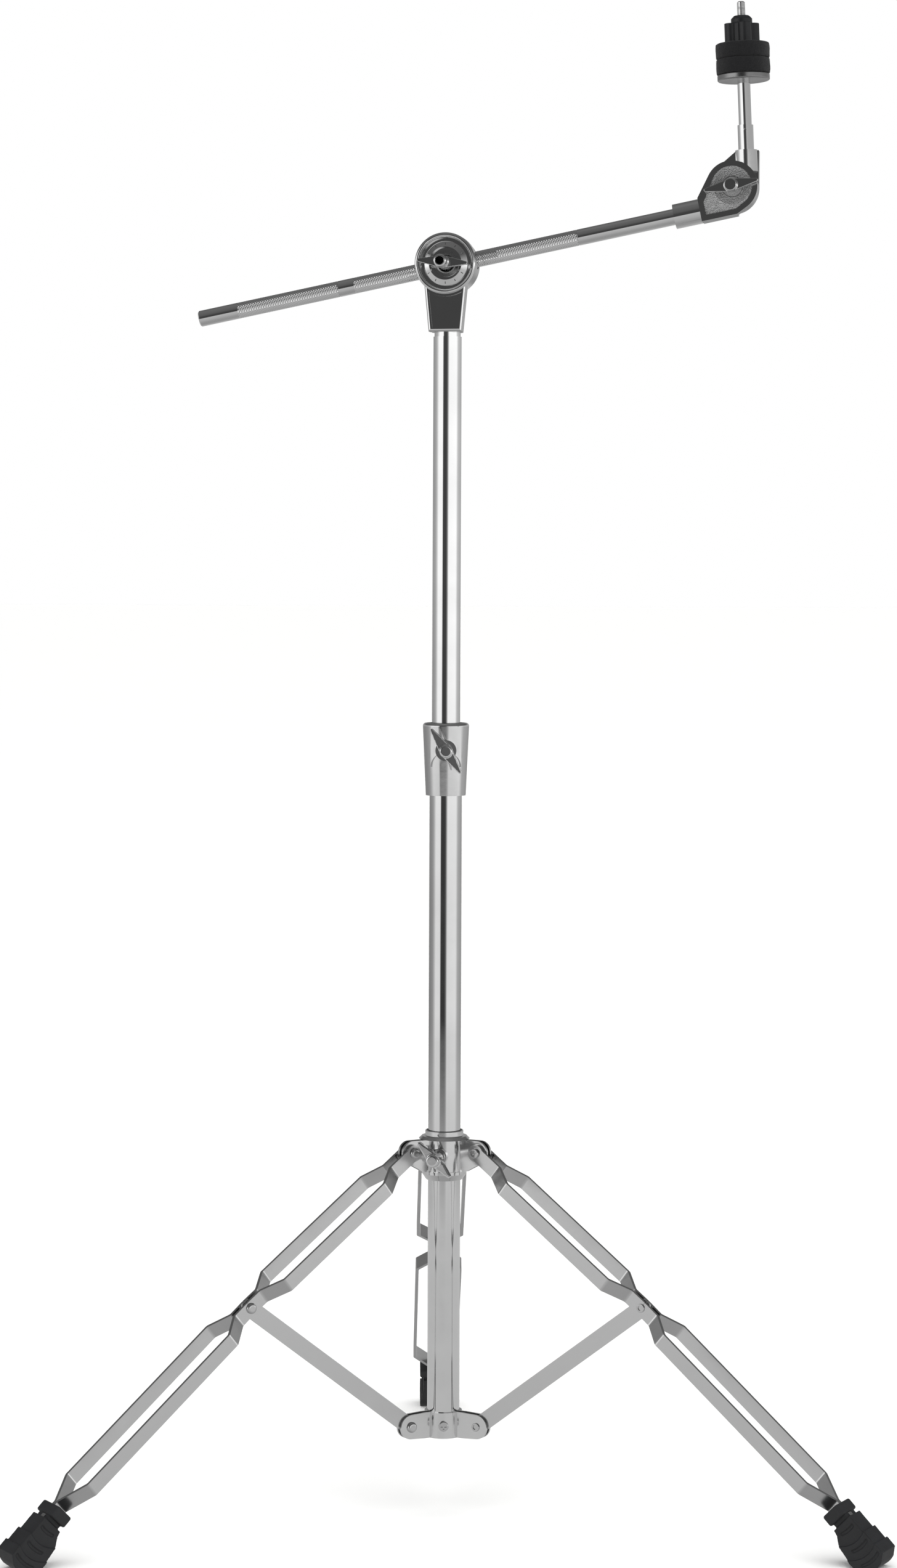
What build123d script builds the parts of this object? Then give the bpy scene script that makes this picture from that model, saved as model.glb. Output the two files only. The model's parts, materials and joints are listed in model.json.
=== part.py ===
from build123d import *
import math
import os

# Cymbal boom stand, in millimetres. +Z is up, the origin is on the mast's axis at floor level, and the
# boom lies over the X axis with the cymbal seat at +X. The clamp nuts of the tilters face -Y.

# fits
run_gap = 0.06            # radial clearance of a shaft that turns or slides in its hole
seat_gap = 0.02           # clearance between pieces that are fixed to each other
body_gap = 0.35           # air between faces that move past each other

# tripod: each leg hangs on the hub, and a brace of the same length joins its middle to the base bracket
tripod_turn = 100.3       # plan angle of the first leg, degrees
leg_count = 3
pivot_radius = 31.0       # mast axis to the leg and brace pivots
link_length = 178.9       # hub pivot to middle rivet, and middle rivet to base pivot
leg_slope = 36.9          # upper leg below the horizontal, degrees
leg_crank = 3.0           # the lower leg is this much steeper
lower_leg_length = 207.9  # middle rivet to the top of the foot's cuff
strip_width = 11.0
strip_thickness = 2.5
leg_spread = 18.0         # leg centre to the middle of each strip where they are apart
jog_length = 16.0         # length over which a strip swings in or out
hub_flat = 23.0           # straight strip past the hub pivot
pinch_flat = 14.0         # straight strip each side of the middle rivet
ankle_jog = 22.0
ankle_flat = 2.6          # straight strip above the foot
strip_end_radius = 6.5
bend_radius = 3.0
brace_width = 13.0
brace_thickness = 2.5

# rubber foot: distances along its axis from the cuff's top, and across it towards the outer face
foot_slope = 44.5
ankle_height = 41.0       # cuff top above the floor
cuff_length = 9.2
cuff_half_depth = 7.6
cuff_half_width = 13.0
cuff_round = 1.5
neck_end = 12.4
neck_inset = 1.4
neck_half_width = 8.8
tier_starts = (neck_end, 27.6, 40.2)
tier_half_widths = (10.0, 11.2, 12.5)
tier_outer = (9.0, 10.4, 11.6)
tier_arc = 22.0           # radius of the scalloped upper edge of a tier
tier_arc_back = 20.3
tier_arc_side = 1.5
foot_inner = ((12.4, -8.6), (16.6, -9.6), (22.5, -13.6), (35.4, -15.0))
foot_sole = (46.6, -12.7)
foot_toe = (52.8, 5.5)
foot_shoulder = 48.5      # the outer face ends here
strip_pocket = 20.0       # how far the strips reach into the foot
crescent_depth = 0.9
crescent_shift = 6.5
crescent_width = 2.5
crescent_margin = 2.5

# pins and their heads
pin_radius = 2.6
dome_radius = 4.2
dome_height = 2.4
dome_round = 2.0
screw_head_radius = 3.7
screw_head_height = 1.8
head_round = 0.7
cross_width = 1.2
cross_share = 0.6         # length of the cross over the head's diameter
cross_depth = 1.1
hollow_radius = 3.3
hollow_height = 1.0
hollow_bore = 2.0
hollow_round = 0.4
hollow_wall = 0.2         # left at the bottom of the hollow
spacer_radius = 4.0

# mast tubes
lower_tube_radius = 12.7
upper_tube_radius = 11.1
tube_wall = 1.2
lower_tube_length = 541.5
mast_extension = 304.0    # upper tube above the collar
tube_insert = 203.0       # upper tube below the collar's top
base_tube_drop = 8.5      # lower tube below the base pivots

# base bracket
base_plate_thickness = 2.0
base_plate_height = 20.0
base_ear_radius = 9.4
base_screw_head = 3.9
base_screw_radius = 2.0
base_screw_reach = 3.0    # shank inside the plate's outer face

# hub
hub_bush_wall = 1.3
hub_plate_thickness = 2.2
hub_plate_height = 25.0
hub_plate_below = 16.0    # plate bottom below the pivots
lug_half_width = 3.8
hub_ear_radius = 9.0
ear_root = 6.0            # full-height root of an ear
top_collar_radius = 15.0
top_collar_height = 4.4
flange_radius = 20.0
flange_thickness = 2.2
bottom_ring_radius = 17.6
bottom_ring_height = 7.0
bottom_ring_rim = 2.3     # straight side above the taper
bottom_ring_taper = 3.2
hub_bolt_turn = -14.0     # hub wing bolt from the middle of its plate
hub_bolt_below = 3.0      # below the pivots
hub_boss_radius = 6.5
hub_boss_reach = 21.0

# height collar
collar_height = 57.0
collar_bottom_radius = 15.7
collar_top_radius = 18.3
collar_rim_round = 2.4
bush_seat_depth = 18.0    # the lower tube ends this far below the collar's top
bush_wall = 3.9
collar_bolt_below = 21.0
collar_boss_radius = 8.2
collar_boss_reach = 21.5
collar_pad_width = 24.0
collar_pad_rise = 1.1     # the pad stands this far out of the casting
collar_pad_height = 32.0
collar_face_angle = 279.0

# wing bolts and wing nuts
bolt_radius = 3.5
wing_hub_radius = 5.0
wing_tip_radius = 1.3
wing_root_depth = 6.0     # blade at the hub
wing_tip_depth = 5.0
wing_blade_back = 6.0     # the blades' flat front behind the hub's
wing_hub_round = 1.2
thread_chamfer = 0.8
collar_wing_span = 41.0
collar_wing_turn = -67.0  # blades from the horizontal
collar_wing_front = 38.0  # from the mast axis
hub_wing_span = 36.0
hub_wing_turn = -58.4
hub_wing_front = 44.0
boom_wing_span = 39.0
boom_wing_turn = -15.4
boom_blade_back = 12.0
seat_wing_span = 42.0
seat_wing_turn = 0.3

# boom tilter
tilter_rise = 57.0        # pivot above the upper tube's top
stem_neck_radius = 10.3
stem_neck_height = 3.5
spigot_length = 20.0
stem_bottom_width = 26.4
stem_top_width = 33.6
stem_top_drop = 15.5      # below the tilter's pivot
stem_front = 14.0         # front face in front of the mast axis
stem_back = 3.5           # friction face in front of the mast axis
stem_socket_radius = 12.5
stem_socket_height = 14.5
stem_socket_chamfer = 4.0
stem_round = 2.0
panel_frame = 3.0
panel_depth = 1.4
panel_arc_gap = 1.8
cup_radius = 24.2
cup_rim = 4.0
cup_front = 16.0
cup_floor = 9.5
cup_round = 1.9
dial_outer = 17.5
dial_inner = 13.0
dial_thickness = 4.4      # at its inner edge
dial_fall = 1.9           # the face slopes back outwards by this much
dial_marks = 12
mark_width = 0.6
mark_length = 1.8
mark_depth = 0.4
drum_radius = 22.9
drum_back = 18.0
drum_round = 2.0
rod_offset = 7.2          # boom axis behind the mast axis
eye_shank_radius = 3.0
eye_wall = 1.8
eye_width = 7.0
eye_air = 0.2
spring_wire = 0.6
spring_radius = 4.6
spring_pitch = 1.5
spring_turns = 2.1
spring_pocket = 4.4       # depth of the spring's pocket in the stem
pocket_air = 0.4
liner_wall = 1.2
liner_slit = 2.0
nut_flange_radius = 7.8
nut_flange_height = 5.0
nut_front = 42.0          # wing nut's front in front of the mast axis
nut_recess = 14.0         # the eye bolt ends this far inside its nut
washer_thickness = 1.5
washer_radius = 10.5

# boom, along its own axis from the tilter's pivot
boom_slope = 11.5
rod_radius = 6.35
rod_tail = 205.7
rod_sleeve_start = 182.0
rod_sleeve_end = 203.0
rod_sleeve_radius = 9.7
rod_tail_chamfer = 0.8
rod_socket = 7.0          # the rod's end inside the lower arm
liner_half = 21.5

# seat tilter
seat_pivot_along = 231.0
seat_pivot_above = 12.8
arm_radius = 20.0
arm_block_height = 18.5
arm_front = 12.0          # in front of the boom's axis
arm_rear = 10.5           # behind it
arm_border = 4.2
arm_recess = 1.2
arm_bowl_outer = 14.2
arm_bowl_inner = 9.0
arm_bowl_depth = 4.0
neck_offset = 11.5        # spindle axis beyond the seat tilter's pivot
neck_radius = 8.6
neck_top = 29.0           # above the seat tilter's pivot
neck_shoulder = 4.0
neck_start = 12.0
seat_bolt_radius = 4.0
seat_bolt_head_radius = 6.6
seat_bolt_head_height = 4.0
seat_washer_radius = 8.4
seat_nut_front = 27.0     # wing nut's front in front of the boom's axis

# cymbal seat, along the spindle from the seat tilter's pivot height
spindle_lean = 2.3
spindle_sleeve_radius = 6.1
spindle_sleeve_top = 48.6
spindle_sleeve_insert = 8.0
sleeve_hole_radius = 1.1
sleeve_hole_drop = 4.0
spindle_radius = 5.0
spindle_shoulder = 83.1
thread_radius = 3.0
spindle_tip = 145.3
cup_washer_radius = 20.4
cup_washer_thickness = 5.2
cup_washer_round = 1.2
felt_radius = 21.3
felt_thickness = 11.8
felt_round = 2.2
seat_sleeve_wall = 2.0
knob_radius = 8.6
knob_height = 15.4
knob_lobes = 4
knob_lobe_radius = 5.0
knob_reach = 13.9
knob_turn = 20.0
knob_chamfer = 2.4
knob_collar_radius = 8.3
knob_collar_height = 6.0


def sin(angle):
    return math.sin(math.radians(angle))


def cos(angle):
    return math.cos(math.radians(angle))


# heights and radii that follow from the values above
lower_slope = leg_slope + leg_crank
middle_radius = pivot_radius + link_length * cos(leg_slope)
middle_z = ankle_height + lower_leg_length * sin(lower_slope)
base_z = middle_z - link_length * sin(leg_slope)
hub_z = middle_z + link_length * sin(leg_slope)
ankle_radius = middle_radius + lower_leg_length * cos(lower_slope)
lug_spacing = 360 / leg_count
leg_angles = [tripod_turn + lug_spacing * n for n in range(leg_count)]

hub_gap_offset = lug_half_width + body_gap + strip_thickness / 2
pinch_offset = brace_thickness / 2 + body_gap + strip_thickness / 2
ankle_offset = strip_thickness / 2 + seat_gap

lower_tube_bottom = base_z - base_tube_drop
lower_tube_top = lower_tube_bottom + lower_tube_length
collar_top = lower_tube_top + bush_seat_depth
collar_bottom = collar_top - collar_height
upper_tube_top = collar_top + mast_extension
upper_tube_bottom = collar_top - tube_insert
collar_bolt_z = collar_top - collar_bolt_below

hub_bush_inner = lower_tube_radius + run_gap
hub_bush_outer = hub_bush_inner + hub_bush_wall
hub_plate_inner = hub_bush_outer + seat_gap
hub_plate_bottom = hub_z - hub_plate_below
hub_plate_top = hub_plate_bottom + hub_plate_height
hub_top = hub_plate_top + flange_thickness + top_collar_height
hub_bottom = hub_plate_bottom - bottom_ring_height
hub_bolt_z = hub_z - hub_bolt_below
hub_plate_centre = leg_angles[1] + lug_spacing / 2
hub_bolt_angle = hub_plate_centre + hub_bolt_turn

tilter_z = upper_tube_top + tilter_rise
stem_bottom = upper_tube_top + stem_neck_height
stem_top = tilter_z - stem_top_drop
liner_inner = rod_radius + run_gap
liner_outer = liner_inner + liner_wall
eye_inner = liner_outer + run_gap
eye_outer = eye_inner + eye_wall
drum_front = stem_back - body_gap
boom_nut_base = cup_floor + washer_thickness + body_gap

seat_x = seat_pivot_along * cos(boom_slope) - seat_pivot_above * sin(boom_slope)
seat_z = tilter_z + seat_pivot_along * sin(boom_slope) + seat_pivot_above * cos(boom_slope)
arm_split = body_gap / 2
arm_floor = arm_front - arm_recess - arm_bowl_depth
seat_nut_base = arm_floor + washer_thickness + body_gap
washer_top = spindle_shoulder + cup_washer_thickness
lower_felt_top = washer_top + felt_thickness
upper_felt_bottom = lower_felt_top + body_gap
upper_felt_top = upper_felt_bottom + felt_thickness
knob_bottom = upper_felt_top + body_gap
seat_sleeve_outer = thread_radius + seat_gap + seat_sleeve_wall


# ---- planes ----

def leg_plane(angle):
    """Upright plane through the mast axis: x outwards, y up, normal sideways."""
    return Plane(origin=(0, 0, 0), x_dir=(cos(angle), sin(angle), 0), z_dir=(sin(angle), -cos(angle), 0))


def along_plane(angle, slope, radius, height):
    """Plane of a strip's bends: x down the leg, y sideways."""
    across = (cos(angle), sin(angle))
    return Plane(
        origin=(radius * across[0], radius * across[1], height),
        x_dir=(across[0] * cos(slope), across[1] * cos(slope), -sin(slope)),
        z_dir=(-across[0] * sin(slope), -across[1] * sin(slope), -cos(slope)),
    )


def facing_plane(angle, radius, height, turn=0.0):
    """Upright plane that faces outwards at a plan angle: x is turned up from the horizontal."""
    level = (-sin(angle), cos(angle))
    return Plane(
        origin=(radius * cos(angle), radius * sin(angle), height),
        x_dir=(level[0] * cos(turn), level[1] * cos(turn), sin(turn)),
        z_dir=(cos(angle), sin(angle), 0),
    )


def front_plane(x, z, forward, turn=0.0):
    """Plane that faces -Y, with x turned up from +X; forward is measured towards -Y."""
    return Plane(origin=(x, -forward, z), x_dir=(cos(turn), 0, sin(turn)), z_dir=(0, -1, 0))


def rod_plane(along):
    """Plane across the boom, at a distance along it."""
    return Plane(
        origin=(along * cos(boom_slope), rod_offset, tilter_z + along * sin(boom_slope)),
        x_dir=(0, 1, 0),
        z_dir=(cos(boom_slope), 0, sin(boom_slope)),
    )


def spindle_plane(height):
    """Plane across the spindle, at a height along it."""
    return Plane(
        origin=(
            seat_x + neck_offset - height * sin(spindle_lean),
            rod_offset,
            seat_z + height * cos(spindle_lean),
        ),
        x_dir=(cos(spindle_lean), 0, sin(spindle_lean)),
        z_dir=(-sin(spindle_lean), 0, cos(spindle_lean)),
    )


# ---- shared shapes ----

def band_outline(points, thickness):
    """Corners of a strip of even thickness whose middle follows the points, left side first."""
    normals = []
    for start, end in zip(points, points[1:]):
        run = math.dist(start, end)
        normals.append(((start[1] - end[1]) / run, (end[0] - start[0]) / run))
    corners = []
    for index, point in enumerate(points):
        before = normals[max(index - 1, 0)]
        after = normals[min(index, len(normals) - 1)]
        scale = thickness / 2 / (1 + before[0] * after[0] + before[1] * after[1])
        shift = ((before[0] + after[0]) * scale, (before[1] + after[1]) * scale)
        corners.append((point, shift))
    left = [(p[0] + s[0], p[1] + s[1]) for p, s in corners]
    right = [(p[0] - s[0], p[1] - s[1]) for p, s in corners]
    return left + right[::-1]


def shifted(plane, x, y):
    """The same plane with its origin moved within it."""
    return Plane(origin=plane.from_local_coords((x, y, 0)), x_dir=plane.x_dir, z_dir=plane.z_dir)


def ring(plane, outer, inner, height):
    """A plain ring that stands on a plane."""
    with BuildPart() as piece:
        with BuildSketch(plane):
            Circle(outer)
            Circle(inner, mode=Mode.SUBTRACT)
        extrude(amount=height)
    return piece


def keep(piece, name):
    """Label a finished piece and write it."""
    piece.part.label = name
    export_step(piece.part, f"parts/{name}.step")


# ---- mast ----

def make_lower_tube():
    """Lower mast tube, with holes for the base screws."""
    with BuildPart() as tube:
        with BuildSketch(Plane.XY.offset(lower_tube_bottom)):
            Circle(lower_tube_radius)
            Circle(lower_tube_radius - tube_wall, mode=Mode.SUBTRACT)
        extrude(amount=lower_tube_length)
        for angle in leg_angles:
            with BuildSketch(facing_plane(angle + lug_spacing / 2, 0, base_z)):
                Circle(base_screw_radius + seat_gap)
            extrude(amount=lower_tube_radius, mode=Mode.SUBTRACT)
    return tube


def make_upper_tube():
    length = upper_tube_top - upper_tube_bottom
    return ring(Plane.XY.offset(upper_tube_bottom), upper_tube_radius, upper_tube_radius - tube_wall, length)


def collar_side(rise):
    """Half of the collar's upright section, grown outwards by a rise."""
    with BuildSketch() as side:
        with BuildLine():
            Polyline(
                (0, collar_bottom), (collar_bottom_radius + rise, collar_bottom),
                (collar_top_radius + rise, collar_top), (0, collar_top), close=True,
            )
        make_face()
    return side.sketch


def make_collar():
    """Tapered clamp casting with a raised pad and a boss for its bolt."""
    bush_radius = upper_tube_radius + run_gap + bush_wall + run_gap
    pad_top = collar_top - collar_rim_round
    with BuildPart() as pad:
        with BuildSketch(facing_plane(collar_face_angle, 0, pad_top)):
            with Locations((0, -collar_pad_height / 2)):
                Rectangle(collar_pad_width, collar_pad_height)
            with Locations((0, -collar_pad_height)):
                Circle(collar_pad_width / 2, mode=Mode.SUBTRACT)
        extrude(amount=2 * collar_top_radius)
        with BuildSketch(Plane.XZ):
            add(collar_side(collar_pad_rise))
        revolve(axis=Axis.Z, mode=Mode.INTERSECT)
    with BuildPart() as collar:
        with BuildSketch(Plane.XZ):
            add(collar_side(0.0))
        revolve(axis=Axis.Z)
        fillet(collar.edges().group_by(Axis.Z)[-1], collar_rim_round)
        add(pad.part)
        with BuildSketch(facing_plane(collar_face_angle, 0, collar_bolt_z)):
            Circle(collar_boss_radius)
        extrude(amount=collar_boss_reach)
        with BuildSketch(Plane.XY.offset(collar_bottom)):
            Circle(lower_tube_radius + seat_gap)
        extrude(amount=collar_height, mode=Mode.SUBTRACT)
        with BuildSketch(Plane.XY.offset(lower_tube_top)):
            Circle(bush_radius)
        extrude(amount=bush_seat_depth, mode=Mode.SUBTRACT)
        with BuildSketch(facing_plane(collar_face_angle, 0, collar_bolt_z)):
            Circle(bolt_radius + run_gap)
        extrude(amount=collar_boss_reach, mode=Mode.SUBTRACT)
    return collar


def make_collar_bush():
    inner = upper_tube_radius + run_gap
    height = bush_seat_depth - 2 * body_gap
    return ring(Plane.XY.offset(lower_tube_top + body_gap), inner + bush_wall, inner, height)


# ---- wing bolts and wing nuts ----

def make_blades(plane, span, front, blade_back):
    """Two flat-fronted blades across the plane's x, each with one edge in line with the hub's side."""
    half = span / 2
    tip = half - wing_tip_radius
    shift = wing_hub_radius - wing_tip_radius
    blade_front = front - blade_back
    root = blade_front - wing_root_depth
    tip_root = blade_front - wing_tip_depth
    side = Plane(origin=plane.origin, x_dir=plane.x_dir, z_dir=-plane.y_dir)
    with BuildPart() as blades:
        with BuildSketch(plane.offset(root)):
            Circle(wing_hub_radius)
            with Locations((tip, shift), (-tip, -shift)):
                Circle(wing_tip_radius)
            make_hull()
        extrude(amount=wing_root_depth)
        with BuildSketch(side):
            with BuildLine():
                Polyline(
                    (-half, blade_front), (half, blade_front), (half, tip_root),
                    (wing_hub_radius, root), (-wing_hub_radius, root), (-half, tip_root), close=True,
                )
            make_face()
        extrude(amount=span, both=True, mode=Mode.INTERSECT)
    return blades.part


def make_wing_hub(plane, base, front):
    """Round hub with a rounded front rim."""
    with BuildPart() as hub:
        with BuildSketch(plane.offset(base)):
            Circle(wing_hub_radius)
        extrude(amount=front - base)
        fillet(hub.edges().group_by(Axis(plane.origin, plane.z_dir))[-1], wing_hub_round)
    return hub.part


def make_wing_bolt(plane, span, base, front, tip):
    """Wing bolt along the plane's normal: shank from its tip, hub and blades from base to front."""
    hub = make_wing_hub(plane, base, front)
    blades = make_blades(plane, span, front, wing_blade_back)
    with BuildPart() as bolt:
        add(hub)
        add(blades)
        with BuildSketch(plane.offset(tip)):
            Circle(bolt_radius)
        extrude(amount=base - tip)
    return bolt


def make_wing_nut(plane, span, base, front, thread, blade_back):
    """Wing nut along the plane's normal, with a flared base and a hole for its bolt."""
    hub = make_wing_hub(plane, base, front)
    blades = make_blades(plane, span, front, blade_back)
    with BuildPart() as nut:
        add(hub)
        add(blades)
        with BuildSketch(plane.offset(base)):
            Circle(nut_flange_radius)
        with BuildSketch(plane.offset(base + nut_flange_height)):
            Circle(wing_hub_radius)
        loft()
        with BuildSketch(plane.offset(base)):
            Circle(thread + run_gap)
        extrude(amount=front - base, mode=Mode.SUBTRACT)
    return nut


def make_collar_wing_bolt():
    plane = facing_plane(collar_face_angle, 0, collar_bolt_z, collar_wing_turn)
    tip = upper_tube_radius + run_gap + bush_wall + run_gap + body_gap
    return make_wing_bolt(plane, collar_wing_span, collar_boss_reach + body_gap, collar_wing_front, tip)


def make_hub_wing_bolt():
    plane = facing_plane(hub_bolt_angle, 0, hub_bolt_z, hub_wing_turn)
    tip = lower_tube_radius + body_gap
    return make_wing_bolt(plane, hub_wing_span, hub_boss_reach + body_gap, hub_wing_front, tip)


# ---- pins ----

def make_head(plane, radius, height, rounding):
    """Round head with a rounded rim, on a plane's normal side."""
    with BuildPart() as head:
        with BuildSketch(plane):
            Circle(radius)
        extrude(amount=height)
        fillet(head.edges().group_by(Axis(plane.origin, plane.z_dir))[-1], rounding)
    return head.part


def make_cross_head(plane, radius):
    """Pan head with a cross recess."""
    head = make_head(plane, radius, screw_head_height, head_round)
    size = cross_share * 2 * radius
    with BuildPart() as crossed:
        add(head)
        with BuildSketch(plane.offset(screw_head_height)):
            Rectangle(cross_width, size)
            Rectangle(size, cross_width)
        extrude(amount=-cross_depth, mode=Mode.SUBTRACT)
    return crossed.part


def make_flared_end(plane):
    """Flared hollow end of a rivet."""
    head = make_head(plane, hollow_radius, hollow_height, hollow_round)
    with BuildPart() as end:
        add(head)
        with BuildSketch(plane.offset(hollow_height)):
            Circle(hollow_bore)
        extrude(amount=hollow_wall - hollow_height, mode=Mode.SUBTRACT)
    return end.part


def make_pivot(angle, radius, height, half_grip, spacer, cross):
    """Pin across a leg's plane: a dome on one side, and a cross head or a flared end on the other."""
    middle = shifted(leg_plane(angle), radius, height)
    back = Plane(origin=middle.origin, x_dir=middle.x_dir, z_dir=-middle.z_dir)
    dome = make_head(back.offset(half_grip), dome_radius, dome_height, dome_round)
    face = middle.offset(half_grip)
    end = make_cross_head(face, screw_head_radius) if cross else make_flared_end(face)
    with BuildPart() as pin:
        with BuildSketch(middle):
            Circle(pin_radius)
        extrude(amount=half_grip, both=True)
        if spacer:
            with BuildSketch(middle):
                Circle(spacer_radius)
            extrude(amount=spacer, both=True)
        add(dome)
        add(end)
    return pin


def join(pieces):
    """One node of separate solids."""
    with BuildPart() as group:
        for piece in pieces:
            add(piece.part)
    return group


# ---- stamped plates of the hub and the base bracket ----

def make_stamped_plate(centre, inner, thickness, bottom, height, ear_inner, ear_radius, pin_z):
    """Plate that hugs the mast between two legs, with an ear beside the next plate's ear at each end."""
    outer = inner + thickness
    half_span = lug_spacing / 2 - math.degrees(math.asin((ear_inner + thickness / 2) / (inner + thickness / 2)))
    first, last = centre - half_span, centre + half_span
    with BuildPart() as plate:
        with BuildSketch(Plane.XY.offset(bottom)):
            with BuildLine():
                CenterArc((0, 0), outer, first, 2 * half_span)
                CenterArc((0, 0), inner, first, 2 * half_span)
                for edge in (first, last):
                    Line((inner * cos(edge), inner * sin(edge)), (outer * cos(edge), outer * sin(edge)))
            make_face()
        extrude(amount=height)
        for side in (-1, 1):
            plane = leg_plane(centre + side * lug_spacing / 2)
            with BuildSketch(plane.offset(side * ear_inner)):
                with Locations((inner + ear_root / 2, bottom + height / 2)):
                    Rectangle(ear_root, height)
                with Locations((pivot_radius, pin_z)):
                    Circle(ear_radius)
                make_hull()
            extrude(amount=side * thickness)
            with BuildSketch(shifted(plane, pivot_radius, pin_z)):
                Circle(pin_radius + seat_gap)
            extrude(amount=side * (ear_inner + 2 * thickness), mode=Mode.SUBTRACT)
    return plate


def drill(piece, plane, radius, depth):
    """The piece with a hole along a plane's normal."""
    with BuildPart() as drilled:
        add(piece.part)
        with BuildSketch(plane):
            Circle(radius)
        extrude(amount=depth, mode=Mode.SUBTRACT)
    return drilled


# ---- base bracket ----

def make_base_plate(centre):
    inner = lower_tube_radius + seat_gap
    plate = make_stamped_plate(
        centre, inner, base_plate_thickness, base_z - base_plate_height / 2, base_plate_height,
        brace_thickness / 2 + body_gap, base_ear_radius, base_z,
    )
    return drill(plate, facing_plane(centre, 0, base_z), base_screw_radius + seat_gap, 2 * inner)


def make_base_screw(centre):
    """Pan-head screw through a base plate and the mast's wall."""
    face = lower_tube_radius + seat_gap + base_plate_thickness
    plane = facing_plane(centre, face + seat_gap, base_z)
    head = make_cross_head(plane, base_screw_head)
    with BuildPart() as screw:
        with BuildSketch(plane):
            Circle(base_screw_radius)
        extrude(amount=-base_screw_reach - seat_gap)
        add(head)
    return screw


def make_base_rivet(angle):
    grip = brace_thickness / 2 + body_gap + base_plate_thickness + seat_gap
    return make_pivot(angle, pivot_radius, base_z, grip, 0.0, False)


# ---- hub ----

def make_hub_bush():
    length = hub_top - hub_bottom - 2 * body_gap
    bush = ring(Plane.XY.offset(hub_bottom + body_gap), hub_bush_outer, hub_bush_inner, length)
    return drill(bush, facing_plane(hub_bolt_angle, 0, hub_bolt_z), bolt_radius + run_gap, 2 * hub_bush_outer)


def make_hub_plate(centre):
    plate = make_stamped_plate(
        centre, hub_plate_inner, hub_plate_thickness, hub_plate_bottom, hub_plate_height,
        lug_half_width - hub_plate_thickness, hub_ear_radius, hub_z,
    )
    if centre == hub_plate_centre:
        plate = drill(plate, facing_plane(hub_bolt_angle, 0, hub_bolt_z), bolt_radius + run_gap, pivot_radius)
    return plate


def make_hub_top_ring():
    """Short collar on a flange that covers the plates."""
    inner = hub_bush_outer + seat_gap
    base = hub_plate_top + seat_gap
    step = base + flange_thickness
    with BuildPart() as top:
        with BuildSketch(Plane.XZ):
            with BuildLine():
                Polyline(
                    (inner, base), (flange_radius, base), (flange_radius - flange_thickness, step),
                    (top_collar_radius, step), (top_collar_radius, hub_top), (inner, hub_top), close=True,
                )
            make_face()
            fillet(vertices().group_by(Axis.X)[1:4][0], head_round)
        revolve(axis=Axis.Z)
    return top


def make_hub_bottom_ring():
    """Tapered ring under the plates."""
    inner = hub_bush_outer + seat_gap
    top = hub_plate_bottom - seat_gap
    with BuildPart() as bottom:
        with BuildSketch(Plane.XZ):
            with BuildLine():
                Polyline(
                    (inner, top), (bottom_ring_radius, top), (bottom_ring_radius, top - bottom_ring_rim),
                    (bottom_ring_radius - bottom_ring_taper, hub_bottom), (inner, hub_bottom), close=True,
                )
            make_face()
        revolve(axis=Axis.Z)
    return bottom


def make_hub_boss():
    """Threaded boss on the front plate for the hub's wing bolt."""
    plane = facing_plane(hub_bolt_angle, 0, hub_bolt_z)
    with BuildPart() as boss:
        with BuildSketch(plane):
            Circle(hub_boss_radius)
            Circle(bolt_radius + run_gap, mode=Mode.SUBTRACT)
        extrude(amount=hub_boss_reach)
        with BuildSketch(Plane.XY.offset(hub_plate_bottom)):
            Circle(hub_plate_inner + hub_plate_thickness + seat_gap)
        extrude(amount=hub_plate_height, mode=Mode.SUBTRACT)
    return boss


def make_hub_screw(angle):
    grip = lug_half_width + body_gap + strip_thickness + body_gap
    return make_pivot(angle, pivot_radius, hub_z, grip, lug_half_width - hub_plate_thickness - seat_gap, True)


# ---- legs ----

def make_run(plane, side, points):
    """Run of a leg strip that follows points in a plane."""
    outline = band_outline([(x, side * y) for x, y in points], strip_thickness)
    with BuildPart() as run:
        with BuildSketch(plane) as band:
            with BuildLine():
                Polyline(outline, close=True)
            make_face()
            fillet(band.vertices().sort_by(Axis.X)[2:-2], bend_radius)
        extrude(amount=strip_width / 2, both=True)
    return run.part


def make_strip(angle, side):
    """One flat strip of a leg, from the hub pivot to inside the foot."""
    upper = along_plane(angle, leg_slope, pivot_radius, hub_z)
    lower = along_plane(angle, lower_slope, middle_radius, middle_z)
    upper_run = make_run(upper, side, [
        (0, hub_gap_offset), (hub_flat, hub_gap_offset), (hub_flat + jog_length, leg_spread),
        (link_length - pinch_flat - jog_length, leg_spread), (link_length - pinch_flat, pinch_offset),
        (link_length, pinch_offset),
    ])
    lower_run = make_run(lower, side, [
        (0, pinch_offset), (pinch_flat, pinch_offset), (pinch_flat + jog_length, leg_spread),
        (lower_leg_length - ankle_flat - ankle_jog, leg_spread), (lower_leg_length - ankle_flat, ankle_offset),
        (lower_leg_length + strip_pocket, ankle_offset),
    ])
    pivot = shifted(leg_plane(angle), pivot_radius, hub_z)
    with BuildPart() as strip:
        add(upper_run)
        add(lower_run)
        with BuildSketch(pivot.offset(side * (lug_half_width + body_gap))):
            Circle(strip_end_radius)
        extrude(amount=side * strip_thickness)
        with BuildSketch(pivot):
            Circle(pin_radius + run_gap)
        extrude(amount=side * leg_spread, mode=Mode.SUBTRACT)
        with BuildSketch(shifted(leg_plane(angle), middle_radius, middle_z)):
            Circle(pin_radius + seat_gap)
        extrude(amount=side * leg_spread, mode=Mode.SUBTRACT)
    return strip


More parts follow.
